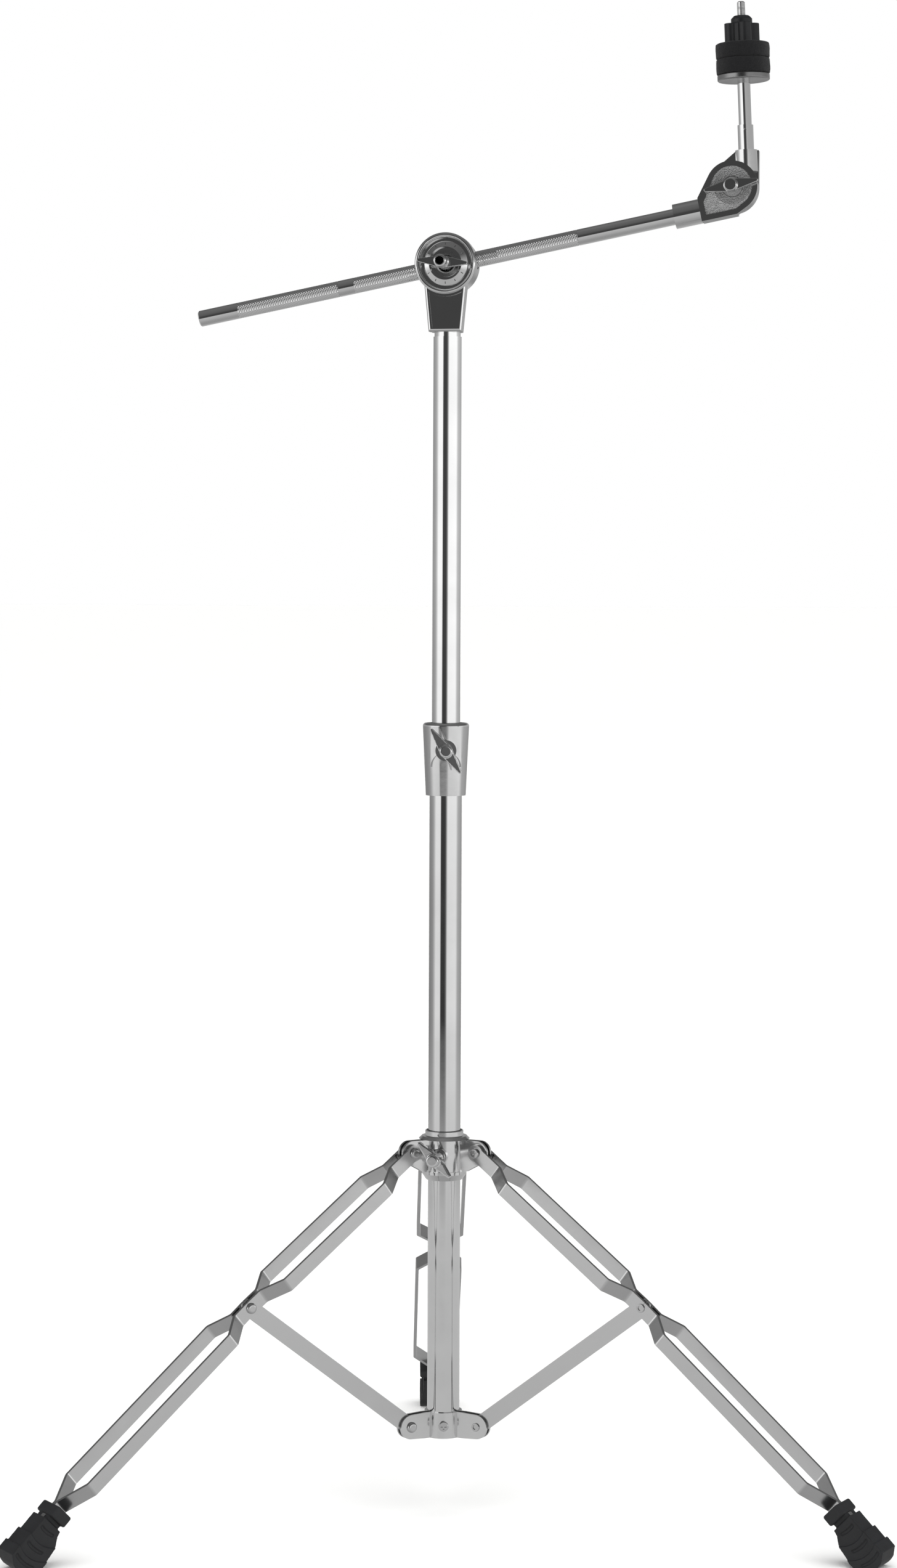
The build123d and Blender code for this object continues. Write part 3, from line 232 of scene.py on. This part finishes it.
def recessedCasting(name, values):
    # chromed die casting whose sunk face is left textured: the depth of the sunk face picks it out
    material = platedSteel(name, values)
    tree = material.node_tree
    shader = next(n for n in tree.nodes if n.type == "BSDF_PRINCIPLED")
    place = next(n for n in tree.nodes if n.type == "TEX_COORD").outputs["Object"]
    split = addNode(tree, "ShaderNodeSeparateXYZ", {"Vector": place})
    away = addNode(tree, "ShaderNodeMath", {0: split.outputs["Y"], 1: values["sunkY"]}, operation="SUBTRACT")
    size = addNode(tree, "ShaderNodeMath", {0: away.outputs[0]}, operation="ABSOLUTE")
    mask = addNode(tree, "ShaderNodeMath", {0: size.outputs[0], 1: values["sunkDepth"]},
                   operation="LESS_THAN")
    if "bowl" in values:
        centre, radius, depth = values["bowl"]
        offset = addNode(tree, "ShaderNodeVectorMath", {0: place, 1: centre}, operation="SUBTRACT").outputs[0]
        level = addNode(tree, "ShaderNodeVectorMath", {0: offset, 1: (1.0, 0.0, 1.0)}, operation="MULTIPLY")
        reach = addNode(tree, "ShaderNodeVectorMath", {0: level.outputs[0]},
                        operation="LENGTH").outputs["Value"]
        inside = addNode(tree, "ShaderNodeMath", {0: reach, 1: radius}, operation="LESS_THAN")
        sunk = addNode(tree, "ShaderNodeMath", {0: away.outputs[0], 1: depth}, operation="LESS_THAN")
        bowl = addNode(tree, "ShaderNodeMath", {0: inside.outputs[0], 1: sunk.outputs[0]},
                       operation="MULTIPLY")
        mask = addNode(tree, "ShaderNodeMath", {0: mask.outputs[0], 1: bowl.outputs[0]}, operation="MAXIMUM")
    grain = addNode(tree, "ShaderNodeTexVoronoi", {"Vector": place, "Scale": 1 / values["grainSize"]})
    bump = next(n for n in tree.nodes if n.type == "BUMP")
    depth = addNode(tree, "ShaderNodeMath", {0: grain.outputs["Distance"], 1: mask.outputs[0]},
                    operation="MULTIPLY")
    pits = addNode(tree, "ShaderNodeBump", {
        "Height": depth.outputs[0], "Strength": values["grain"], "Distance": values["grainSize"],
        "Normal": bump.outputs["Normal"],
    })
    colour = shader.inputs["Base Color"].links[0].from_socket
    dark = addNode(tree, "ShaderNodeMix", {
        "Factor": mask.outputs[0], 6: colour, 7: linearFromHex(values["sunk"]),
    }, data_type="RGBA")
    rough = shader.inputs["Roughness"].links[0].from_socket
    dull = addNode(tree, "ShaderNodeMath", {0: mask.outputs[0], 1: values["sunkRough"], 2: rough},
                   operation="MULTIPLY_ADD")
    tree.links.new(dark.outputs[2], shader.inputs["Base Color"])
    tree.links.new(dull.outputs[0], shader.inputs["Roughness"])
    tree.links.new(pits.outputs["Normal"], shader.inputs["Normal"])
    return material


def mouldedBlack(name, values):
    # black moulded rubber or nylon: dull, with a fine spark-eroded grain and a little bloom
    material, tree, shader, place = newMaterial(name)
    cloud = addNode(tree, "ShaderNodeTexNoise", {
        "Vector": place, "Scale": 1 / values["cloudSize"], "Detail": 5.0,
    })
    tint = addNode(tree, "ShaderNodeMix", {
        "Factor": cloud.outputs["Fac"], 6: linearFromHex(values["dark"]), 7: linearFromHex(values["bloom"]),
    }, data_type="RGBA")
    rough = addNode(tree, "ShaderNodeMapRange", {
        "Value": cloud.outputs["Fac"], "To Min": values["roughLow"], "To Max": values["roughHigh"],
    })
    grain = addNode(tree, "ShaderNodeTexNoise", {
        "Vector": place, "Scale": 1 / values["grainSize"], "Detail": 2.0,
    })
    bump = addNode(tree, "ShaderNodeBump", {
        "Height": grain.outputs["Fac"], "Strength": values["grain"], "Distance": 0.0003,
    })
    tree.links.new(tint.outputs[2], shader.inputs["Base Color"])
    tree.links.new(rough.outputs["Result"], shader.inputs["Roughness"])
    tree.links.new(bump.outputs["Normal"], shader.inputs["Normal"])
    return material


def pressedFelt(name, values):
    # black wool felt: matted fibres that catch light at the rim, with paler lint
    material, tree, shader, place = newMaterial(name)
    mat = addNode(tree, "ShaderNodeTexNoise", {
        "Vector": place, "Scale": 1 / values["fibreSize"], "Detail": 8.0, "Roughness": 0.7, "Distortion": 1.5,
    })
    tint = addNode(tree, "ShaderNodeMix", {
        "Factor": mat.outputs["Fac"], 6: linearFromHex(values["dark"]), 7: linearFromHex(values["lint"]),
    }, data_type="RGBA")
    bump = addNode(tree, "ShaderNodeBump", {
        "Height": mat.outputs["Fac"], "Strength": values["nap"], "Distance": 0.0006,
    })
    tree.links.new(tint.outputs[2], shader.inputs["Base Color"])
    tree.links.new(bump.outputs["Normal"], shader.inputs["Normal"])
    shader.inputs["Roughness"].default_value = 0.95
    shader.inputs["Sheen Weight"].default_value = values["sheen"]
    shader.inputs["Sheen Roughness"].default_value = 0.5
    return material


def boredWing(name, values):
    # a wing nut whose threaded bore is coloured near black: painted shade inside the hole
    material = platedSteel(name, values)
    tree = material.node_tree
    shader = next(n for n in tree.nodes if n.type == "BSDF_PRINCIPLED")
    place = next(n for n in tree.nodes if n.type == "TEX_COORD").outputs["Object"]
    offset = addNode(tree, "ShaderNodeVectorMath", {0: place, 1: values["centre"]},
                     operation="SUBTRACT").outputs[0]
    level = addNode(tree, "ShaderNodeVectorMath", {0: offset, 1: (1.0, 0.0, 1.0)},
                    operation="MULTIPLY").outputs[0]
    reach = addNode(tree, "ShaderNodeVectorMath", {0: level}, operation="LENGTH").outputs["Value"]
    inside = addNode(tree, "ShaderNodeMath", {0: reach, 1: values["bore"]}, operation="LESS_THAN").outputs[0]
    colour = shader.inputs["Base Color"].links[0].from_socket
    # painted shade: everything within the bore's radius is coloured near black
    boreShaded = addNode(tree, "ShaderNodeMix", {"Factor": inside, 6: colour, 7: linearFromHex(values["oil"])},
                   data_type="RGBA")
    tree.links.new(boreShaded.outputs[2], shader.inputs["Base Color"])
    return material


chromeLook = {"bright": "#eeeeee", "dull": "#dcdcdc", "roughLow": 0.03, "roughHigh": 0.09, "hazeSize": 0.03,
              "rippleSize": 0.012, "ripple": 0.03}
castLook = {**chromeLook, "roughLow": 0.06, "roughHigh": 0.14, "rippleSize": 0.006, "ripple": 0.08}
satinLook = {**chromeLook, "bright": "#e2e2e2", "dull": "#cdcdcd", "roughLow": 0.16, "roughHigh": 0.26,
             "rippleSize": 0.004, "ripple": 0.08}
zincLook = {**satinLook, "bright": "#dbdbdb", "roughLow": 0.14, "roughHigh": 0.24}
chromePlate = platedSteel("chromePlatedTube", chromeLook)
castChrome = platedSteel("chromedDieCasting", castLook)
wingChrome = platedSteel("chromedWing", {**castLook, "roughLow": 0.05, "roughHigh": 0.12})
satinPlate = platedSteel("satinPlatedStrip", satinLook)
zincPlate = platedSteel("zincPlatedHardware", zincLook)
# the cup washer is plated a darker grey: painted shade for the dark underside it shows
washerShadePlate = platedSteel("dullPlatedWasher", {
    **satinLook, "bright": "#a2a2a2", "dull": "#8c8c8c", "roughHigh": 0.36,
})
pressedPlate = platedSteel("chromedPressing", {**castLook, "roughLow": 0.1, "roughHigh": 0.18})
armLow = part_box("seat_lower_arm")[0]
armCasting = recessedCasting("stippledArmCasting", {
    **castLook, "sunkY": armLow.y + 1.2 * mm, "sunkDepth": 0.2 * mm, "grainSize": 0.9 * mm, "grain": 0.9,
    "sunk": "#e6e6e6", "sunkRough": 0.34,
    "bowl": (Vector(joints["seat_tilt"]["pos_m"]), 14.4 * mm, 5.0 * mm)})
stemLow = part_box("tilter_stem")[0]
stemCasting = recessedCasting("panelledStemCasting", {
    **castLook, "sunkY": stemLow.y + 2.9 * mm, "sunkDepth": 0.25 * mm, "grainSize": 0.8 * mm, "grain": 0.3,
    "sunk": "#b4b4b4", "sunkRough": 0.2})
# the near-black bore colour is painted shade
boomWingChrome = boredWing("boredWingNut", {
    **castLook, "centre": Vector(joints["boom_nut_turn"]["pos_m"]), "bore": 3.3 * mm, "oil": "#1a1a1a"})
oiledSteel = platedSteel("oilBlackedSteel", {**satinLook, "bright": "#2c2c2c", "dull": "#1e1e1e"})
blackRubber = mouldedBlack("mouldedRubber", {
    "dark": "#161617", "bloom": "#232426", "roughLow": 0.5, "roughHigh": 0.7, "cloudSize": 0.012,
    "grainSize": 0.0009, "grain": 0.25})
blackNylon = mouldedBlack("mouldedNylon", {
    "dark": "#101012", "bloom": "#1b1c1e", "roughLow": 0.3, "roughHigh": 0.45, "cloudSize": 0.009,
    "grainSize": 0.0007, "grain": 0.12})
blackFelt = pressedFelt("pressedWoolFelt", {
    "dark": "#060607", "lint": "#1b1b1d", "fibreSize": 0.0016, "nap": 0.9, "sheen": 0.08})

finishes = {
    "mast_chrome": chromePlate, "cast_chrome": castChrome, "wing_chrome": wingChrome,
    "hardware_steel": zincPlate, "stamped_chrome": pressedPlate, "strip_steel": satinPlate,
    "foot_rubber": blackRubber, "black_nylon": blackNylon, "black_felt": blackFelt,
}
slotOf = {part["node"]: part["material_slot"] for part in frame["record"]["subparts"]}
for node, piece in nodes.items():
    piece.data.materials.clear()
    piece.data.materials.append(finishes[slotOf[node]])
nodes["seat_lower_arm"].data.materials[0] = armCasting
nodes["tilter_stem"].data.materials[0] = stemCasting
# the washer's darker grey is painted shade
nodes["cup_washer"].data.materials[0] = washerShadePlate
nodes["boom_wing_nut"].data.materials[0] = boomWingChrome
nodes["boom_eye_bolt"].data.materials[0] = oiledSteel
print("stage: materials set")


# ---- boom rod with two knurled lengths ----

rod = {
    "tailPlain": 32.5 * mm,      # plain end, then knurl, band, knurl, and plain to the sleeve
    "tailKnurl": 83 * mm,
    "band": 12.8 * mm,
    "longKnurl": 182 * mm,
    "pitch": 2.0 * mm,           # between grooves, coarser than a real medium knurl so that it shows
    "depth": 0.3 * mm,
    "chamfer": 0.8 * mm,
}
rodAxis = Vector(joints["boom_extend"]["axis"])
rodPoint = Vector(joints["boom_roll"]["pos_m"])
rodLow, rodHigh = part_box("boom_rod")
rodRadius = (rodHigh.y - rodLow.y) / 2
rodStart = (rodLow.x - rodPoint.x + rodRadius * abs(rodAxis.z)) / rodAxis.x
rodEnd = (rodHigh.x - rodPoint.x - rodRadius * abs(rodAxis.z)) / rodAxis.x


def knurlTree():
    # diamonds of a crossed knurl stood on a cylinder about z
    tree = geometryTree("knurl", {
        "Radius": "NodeSocketFloat", "Around": "NodeSocketInt", "Rows": "NodeSocketInt",
        "Pitch": "NodeSocketFloat", "Depth": "NodeSocketFloat", "Material": "NodeSocketMaterial",
    })
    given = addNode(tree, "NodeGroupInput").outputs
    index = addNode(tree, "GeometryNodeInputIndex").outputs[0]
    count = addNode(tree, "ShaderNodeMath", {0: given["Around"], 1: given["Rows"]}, operation="MULTIPLY")
    row = addNode(tree, "ShaderNodeMath", {0: index, 1: given["Around"]}, operation="DIVIDE")
    row = addNode(tree, "ShaderNodeMath", {0: row.outputs[0]}, operation="FLOOR").outputs[0]
    odd = addNode(tree, "ShaderNodeMath", {0: row, 1: 2.0}, operation="MODULO").outputs[0]
    place = addNode(tree, "ShaderNodeMath", {0: odd, 1: 0.5, 2: index}, operation="MULTIPLY_ADD").outputs[0]
    turns = addNode(tree, "ShaderNodeMath", {0: place, 1: given["Around"]}, operation="DIVIDE").outputs[0]
    angle = addNode(tree, "ShaderNodeMath", {0: turns, 1: 2 * math.pi}, operation="MULTIPLY").outputs[0]
    half = addNode(tree, "ShaderNodeMath", {0: given["Pitch"], 1: 0.5}, operation="MULTIPLY").outputs[0]
    height = addNode(tree, "ShaderNodeMath", {0: row, 1: half}, operation="MULTIPLY").outputs[0]
    cosine = addNode(tree, "ShaderNodeMath", {0: angle}, operation="COSINE").outputs[0]
    sine = addNode(tree, "ShaderNodeMath", {0: angle}, operation="SINE").outputs[0]
    outwards = addNode(tree, "ShaderNodeCombineXYZ", {"X": cosine, "Y": sine}).outputs[0]
    foot = addNode(tree, "ShaderNodeMath", {0: given["Radius"], 1: given["Depth"]}, operation="SUBTRACT")
    reach = addNode(tree, "ShaderNodeVectorMath", {0: outwards, "Scale": foot.outputs[0]}, operation="SCALE")
    lift = addNode(tree, "ShaderNodeCombineXYZ", {"Z": height}).outputs[0]
    spot = addNode(tree, "ShaderNodeVectorMath", {0: reach.outputs[0], 1: lift}, operation="ADD").outputs[0]
    points = addNode(tree, "GeometryNodePoints", {"Count": count.outputs[0], "Position": spot}).outputs[0]
    face = addNode(tree, "FunctionNodeAlignRotationToVector", {"Vector": outwards}, axis="Z").outputs[0]
    face = addNode(tree, "FunctionNodeAlignRotationToVector", {"Rotation": face, "Vector": (0.0, 0.0, 1.0)},
                   axis="X", pivot_axis="Z").outputs[0]
    size = addNode(tree, "ShaderNodeCombineXYZ", {"X": half, "Y": half, "Z": given["Depth"]}).outputs[0]
    diamond = addNode(tree, "GeometryNodeMeshCone", {
        "Vertices": 4, "Radius Top": 0.22, "Radius Bottom": 1.04, "Depth": 1.0}).outputs["Mesh"]
    stood = addNode(tree, "GeometryNodeInstanceOnPoints", {
        "Points": points, "Instance": diamond, "Rotation": face, "Scale": size}).outputs[0]
    real = addNode(tree, "GeometryNodeRealizeInstances", {"Geometry": stood}).outputs[0]
    coloured = addNode(tree, "GeometryNodeSetMaterial", {"Geometry": real, "Material": given["Material"]})
    addNode(tree, "NodeGroupOutput", {0: coloured.outputs[0]})
    return tree


def makeBoomRod():
    r, low = rodRadius, rodRadius - rod["depth"]
    first = rodStart + rod["tailPlain"]
    second = first + rod["tailKnurl"]
    third = second + rod["band"]
    fourth = third + rod["longKnurl"]
    edge = rod["depth"]
    profile = [(0, rodStart), (r - rod["chamfer"], rodStart), (r, rodStart + rod["chamfer"]),
               (r, first), (low, first + edge), (low, second - edge), (r, second),
               (r, third), (low, third + edge), (low, fourth - edge), (r, fourth), (r, rodEnd), (0, rodEnd)]
    place = placing(rodPoint, rodAxis)
    piece = newPiece("boomRodBar", turnedMesh(profile, 96, place), chromePlate, "boom")
    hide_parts("boom_rod")
    around = round(2 * math.pi * r / rod["pitch"])
    tree = knurlTree()
    for name, start, end in (("boomKnurlTail", first, second), ("boomKnurlLong", third, fourth)):
        rows = int((end - start - 2 * edge) / (rod["pitch"] / 2))
        mesh = geometryMesh(tree, {"Radius": r, "Around": around, "Rows": rows, "Pitch": rod["pitch"],
                                   "Depth": rod["depth"], "Material": chromePlate})
        mesh.transform(place @ Matrix.Translation((0, 0, start + edge + rod["pitch"] / 4)))
        newPiece(name, mesh, chromePlate, "boom")


makeBoomRod()
print("stage: boom rod")


# ---- thread on the end of the cymbal spindle ----

thread = {
    "pitch": 1.0 * mm,           # metric coarse thread for a 6 mm rod
    "ridge": 0.42 * mm,
    "radius": 2.85 * mm,
    "tipGap": 0.8 * mm,
}


def threadTree():
    # a triangular ridge swept up a helix about z
    tree = geometryTree("thread", {
        "Radius": "NodeSocketFloat", "Turns": "NodeSocketFloat", "Height": "NodeSocketFloat",
        "Ridge": "NodeSocketFloat", "Material": "NodeSocketMaterial",
    })
    given = addNode(tree, "NodeGroupInput").outputs
    helix = addNode(tree, "GeometryNodeCurveSpiral", {
        "Resolution": 32, "Rotations": given["Turns"], "Start Radius": given["Radius"],
        "End Radius": given["Radius"], "Height": given["Height"]}).outputs[0]
    ridge = addNode(tree, "GeometryNodeCurvePrimitiveCircle", {"Resolution": 3, "Radius": given["Ridge"]})
    swept = addNode(tree, "GeometryNodeCurveToMesh", {
        "Curve": helix, "Profile Curve": ridge.outputs[0], "Fill Caps": True}).outputs[0]
    real = addNode(tree, "GeometryNodeRealizeInstances", {"Geometry": swept}).outputs[0]
    coloured = addNode(tree, "GeometryNodeSetMaterial", {"Geometry": real, "Material": given["Material"]})
    addNode(tree, "NodeGroupOutput", {0: coloured.outputs[0]})
    return tree


def makeSpindleThread():
    axis = Vector(joints["top_nut_turn"]["axis"])
    base = Vector(joints["top_nut_turn"]["pos_m"])
    nutHigh = max((v.co - base).dot(axis) for v in nodes["seat_nut"].data.vertices)
    tipHigh = max((v.co - base).dot(axis) for v in nodes["spindle"].data.vertices)
    length = tipHigh - nutHigh - thread["tipGap"] - thread["ridge"]
    mesh = geometryMesh(threadTree(), {
        "Radius": thread["radius"], "Turns": length / thread["pitch"], "Height": length,
        "Ridge": thread["ridge"], "Material": chromePlate})
    mesh.transform(placing(base + axis * nutHigh, axis))
    newPiece("spindleThread", mesh, chromePlate, "seat_arm")


makeSpindleThread()
print("stage: spindle thread")


# ---- felt washers ----

felt = {
    "steps": 128,
    "round": 1.1 * mm,           # pressed edge
    "crown": 0.25 * mm,          # how much the side bulges
    "lump": 0.25 * mm,           # unevenness of the cut felt
    "lumpSize": 5 * mm,
}


def makeFelt(node, name):
    axis = Vector(joints["top_nut_turn"]["axis"])
    base = Vector(joints["top_nut_turn"]["pos_m"])
    spots = [v.co - base for v in nodes[node].data.vertices]
    heights = [s.dot(axis) for s in spots]
    radii = [(s - axis * s.dot(axis)).length for s in spots]
    low, high, inner, outer = min(heights), max(heights), min(radii), max(radii)
    edge = felt["round"]
    wall = outer - felt["crown"]
    profile = [(inner, low), ((inner + wall) / 2, low), (wall - edge, low)]
    profile += [(wall - edge + edge * math.sin(a), low + edge - edge * math.cos(a))
                for a in [math.radians(d) for d in (20, 40, 60, 80)]]
    profile += [(wall + felt["crown"] * math.sin(math.pi * f), low + edge + (high - low - 2 * edge) * f)
                for f in (0.0, 0.2, 0.4, 0.6, 0.8, 1.0)]
    profile += [(wall - edge + edge * math.cos(a), high - edge + edge * math.sin(a))
                for a in [math.radians(d) for d in (20, 40, 60, 80)]]
    profile += [(wall - edge, high), ((inner + wall) / 2, high), (inner, high), (inner, low)]
    place = placing(base, axis)
    mesh = turnedMesh(profile, felt["steps"], place)
    for vertex in mesh.vertices:
        out = vertex.co - base
        out -= axis * out.dot(axis)
        if out.length > inner + mm:
            lumpAt = vertex.co / felt["lumpSize"]
            lump = noise.noise(lumpAt) + 0.5 * noise.noise(lumpAt * 3)
            vertex.co -= out.normalized() * felt["lump"] * (0.8 + lump)
    mesh.shade_smooth()
    piece = newPiece(name, mesh, blackFelt, nodes[node]["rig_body"])
    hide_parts(node)


makeFelt("felt_lower", "lowerFelt")
makeFelt("felt_upper", "upperFelt")
print("stage: felts")


# ---- softened castings and mouldings ----

softened = {
    "collar_wing_bolt": {"voxel": 0.3 * mm, "passes": 5},
    "hub_wing_bolt": {"voxel": 0.3 * mm, "passes": 5},
    "boom_wing_nut": {"voxel": 0.3 * mm, "passes": 5},
    "seat_wing_nut": {"voxel": 0.3 * mm, "passes": 5},
    "seat_nut": {"voxel": 0.3 * mm, "passes": 4},
    "leg_1_foot": {"voxel": 0.45 * mm, "passes": 3},
    "leg_2_foot": {"voxel": 0.45 * mm, "passes": 3},
    "leg_3_foot": {"voxel": 0.45 * mm, "passes": 3},
}
for node, values in softened.items():
    words = node.split("_")
    name = words[0] + "".join(word.capitalize() for word in words[1:]) + "Soft"
    softenedCopy(node, name, values, nodes[node].data.materials[0])
print("stage: softened pieces")


# ---- floor, light and camera ----

studio = {
    "floor": "#fafaf9",
    "floorRadius": 150.0,
    "floorSteps": 96,
    "floorCloud": 3.0,
    "floorRough": (0.6, 0.7),
    "sunPower": 3.4,
    "sunSpread": 100.0,          # degrees, as soft as a bounced ceiling
    "sunTurn": (20, 10),         # degrees about x and y
    "keyPower": 14.0,
    "worldWhite": 1.0,
    "worldStrength": 1.0,
}
room = {                         # brightness of the surroundings that the plating mirrors
    # degrees round from behind the camera, to the right
    "walls": [(-180, 0.32), (-125, 0.38), (-100, 0.48), (-88, 0.7), (-72, 1.2), (-38, 1.2), (-31, 0.06),
              (-6, 0.06), (2, 0.15), (8, 0.5), (15, 1.2), (80, 1.25), (100, 0.65),
              (125, 0.56), (180, 0.32)],
    "haze": [(-0.14, 0.66), (-0.07, 0.74), (-0.03, 0.92), (0.0, 1.0)],   # walls darken towards their foot
    "ceiling": [(0.2, 0.09), (0.9, 0.15), (1.0, 0.2)],
    "ceilingStart": (0.16, 0.42),
    "ground": [(-1.0, 0.34), (-0.75, 0.46), (-0.15, 0.58)],
    "groundStart": (-0.175, -0.12),
    "windowSide": 0.1,           # share of the way to the right where that wall starts
    "windowTop": (0.1, 0.14),    # the right-hand wall is grey above this
    "aboveWindow": 0.45,
}
viewpoint = {
    "azimuth": 9.0,              # degrees round from the front, to the right
    "away": 2.913,               # metres from the stand's axis
    "aside": 0.0015,
    "height": 0.731,
    "roll": 0.235,               # degrees
    "lens": 84.87,
    "sensor": 36.0,
    "shift": -0.1306,
    "clip": 100.0,
}
panels = [                       # name, place, width and height, share of keyPower
    ("topPanel", (0.3, -0.6, 3.4), (3.0, 3.0), 1.0),
    ("leftPanel", (-2.6, -1.6, 1.8), (1.6, 2.2), 0.6),
    ("rightPanel", (2.6, -1.2, 1.6), (1.6, 2.2), 0.6),
]


def makeFloor():
    mesh = turnedMesh([(0, 0.0), (studio["floorRadius"], 0.0)], studio["floorSteps"],
                      Matrix.Identity(4))
    if mesh.polygons[0].normal.z < 0:
        mesh.flip_normals()
    floor = bpy.data.objects.new("floor", mesh)
    scene.collection.objects.link(floor)
    material, tree, shader, place = newMaterial("paperFloor")
    cloud = addNode(tree, "ShaderNodeTexNoise", {
        "Vector": place, "Scale": studio["floorCloud"], "Detail": 2.0,
    })
    smoothest, roughest = studio["floorRough"]
    rough = addNode(tree, "ShaderNodeMapRange", {
        "Value": cloud.outputs["Fac"], "To Min": smoothest, "To Max": roughest,
    })
    tree.links.new(rough.outputs["Result"], shader.inputs["Roughness"])
    shader.inputs["Base Color"].default_value = linearFromHex(studio["floor"])
    mesh.materials.append(material)
    floor.visible_glossy = False     # the plating mirrors the room right down past the feet


cameraAzimuth = math.radians(viewpoint["azimuth"])
toCamera = Vector((math.sin(cameraAzimuth), -math.cos(cameraAzimuth), 0))
toRight = Vector((math.cos(cameraAzimuth), math.sin(cameraAzimuth), 0))


def makeWorld():
    # white side walls with a dark opening behind the camera, a dark ceiling and a grey floor, for the plating
    world = bpy.data.worlds.new("studio")
    world.use_nodes = True
    scene.world = world
    tree = world.node_tree
    tree.nodes.clear()
    way = addNode(tree, "ShaderNodeTexCoord").outputs["Generated"]
    right = addNode(tree, "ShaderNodeVectorMath", {0: way, 1: toRight},
                    operation="DOT_PRODUCT").outputs["Value"]
    near = addNode(tree, "ShaderNodeVectorMath", {0: way, 1: toCamera},
                   operation="DOT_PRODUCT").outputs["Value"]
    angle = addNode(tree, "ShaderNodeMath", {0: right, 1: near}, operation="ARCTAN2").outputs[0]
    turn = addNode(tree, "ShaderNodeMath", {0: angle, 1: 1 / (2 * math.pi), 2: 0.5}, operation="MULTIPLY_ADD")
    up = addNode(tree, "ShaderNodeSeparateXYZ", {"Vector": way}).outputs["Z"]
    height = addNode(tree, "ShaderNodeMath", {0: up, 1: 0.5, 2: 0.5}, operation="MULTIPLY_ADD").outputs[0]

    def toned(value, stops, low, high):
        ramp = addNode(tree, "ShaderNodeValToRGB", {"Fac": value})
        fillRamp(ramp.color_ramp, [((spot - low) / (high - low), tone) for spot, tone in stops])
        return ramp.outputs["Color"]

    def mixed(factor, first, second, blend="MIX"):
        node = addNode(tree, "ShaderNodeMix", {"Factor": factor, 6: first, 7: second},
                       data_type="RGBA", blend_type=blend)
        return node.outputs[2]

    def risen(span):
        lift = {"Value": up, "From Min": span[0], "From Max": span[1]}
        return addNode(tree, "ShaderNodeMapRange", lift).outputs[0]

    walls = mixed(1.0, toned(turn.outputs[0], room["walls"], -180, 180), toned(height, room["haze"], -1, 1),
                  "MULTIPLY")
    side = addNode(tree, "ShaderNodeMath", {0: right, 1: room["windowSide"]},
                   operation="GREATER_THAN").outputs[0]
    over = addNode(tree, "ShaderNodeMath", {0: side, 1: risen(room["windowTop"])},
                   operation="MULTIPLY").outputs[0]
    walls = mixed(over, walls, [room["aboveWindow"]] * 3 + [1.0])
    upper = mixed(risen(room["ceilingStart"]), walls, toned(height, room["ceiling"], -1, 1))
    around = mixed(risen(room["groundStart"]), toned(height, room["ground"], -1, 1), upper)
    seen = addNode(tree, "ShaderNodeLightPath").outputs["Is Camera Ray"]
    shown = mixed(seen, around, [studio["worldWhite"]] * 3 + [1.0])
    back = addNode(tree, "ShaderNodeBackground", {"Color": shown, "Strength": studio["worldStrength"]})
    addNode(tree, "ShaderNodeOutputWorld", {"Surface": back.outputs[0]})


def fillRamp(ramp, stops):
    while len(ramp.elements) < len(stops):
        ramp.elements.new(0.5)
    for element, (spot, value) in zip(ramp.elements, stops):
        element.position = spot
        element.color = (value, value, value, 1.0)


def addPanel(name, spot, size, power):
    # soft panel that lights the room and doesn't show in the plating
    data = bpy.data.lights.new(name, "AREA")
    data.shape = "RECTANGLE"
    data.size, data.size_y = size
    data.energy = power
    panel = bpy.data.objects.new(name, data)
    scene.collection.objects.link(panel)
    panel.location = spot
    panel.rotation_euler = (Vector((0, 0, 0.5)) - Vector(spot)).to_track_quat("-Z", "Y").to_euler()
    panel.visible_glossy = False
    return panel


def addSun():
    data = bpy.data.lights.new("sky", "SUN")
    data.energy = studio["sunPower"]
    data.angle = math.radians(studio["sunSpread"])
    sun = bpy.data.objects.new("sky", data)
    scene.collection.objects.link(sun)
    tip, lean = studio["sunTurn"]
    sun.rotation_euler = (math.radians(tip), math.radians(lean), 0)
    sun.visible_glossy = False


def makeCamera():
    data = bpy.data.cameras.new("camera")
    data.sensor_fit = "VERTICAL"
    data.sensor_height = viewpoint["sensor"]
    data.lens = viewpoint["lens"]
    data.shift_y = viewpoint["shift"]
    data.clip_end = viewpoint["clip"]
    camera = bpy.data.objects.new("camera", data)
    scene.collection.objects.link(camera)
    level = toCamera * viewpoint["away"] + toRight * viewpoint["aside"]
    camera.location = level + Vector((0, 0, viewpoint["height"]))
    roll = Matrix.Rotation(math.radians(viewpoint["roll"]), 4, "Z")
    upright = Matrix.Rotation(cameraAzimuth, 4, "Z") @ Matrix.Rotation(math.radians(90), 4, "X")
    camera.rotation_euler = (upright @ roll).to_euler()
    scene.camera = camera


makeFloor()
makeWorld()
for name, spot, size, share in panels:
    addPanel(name, spot, size, studio["keyPower"] * share)
addSun()
makeCamera()
scene.view_settings.view_transform = "Standard"
print("stage: studio set")
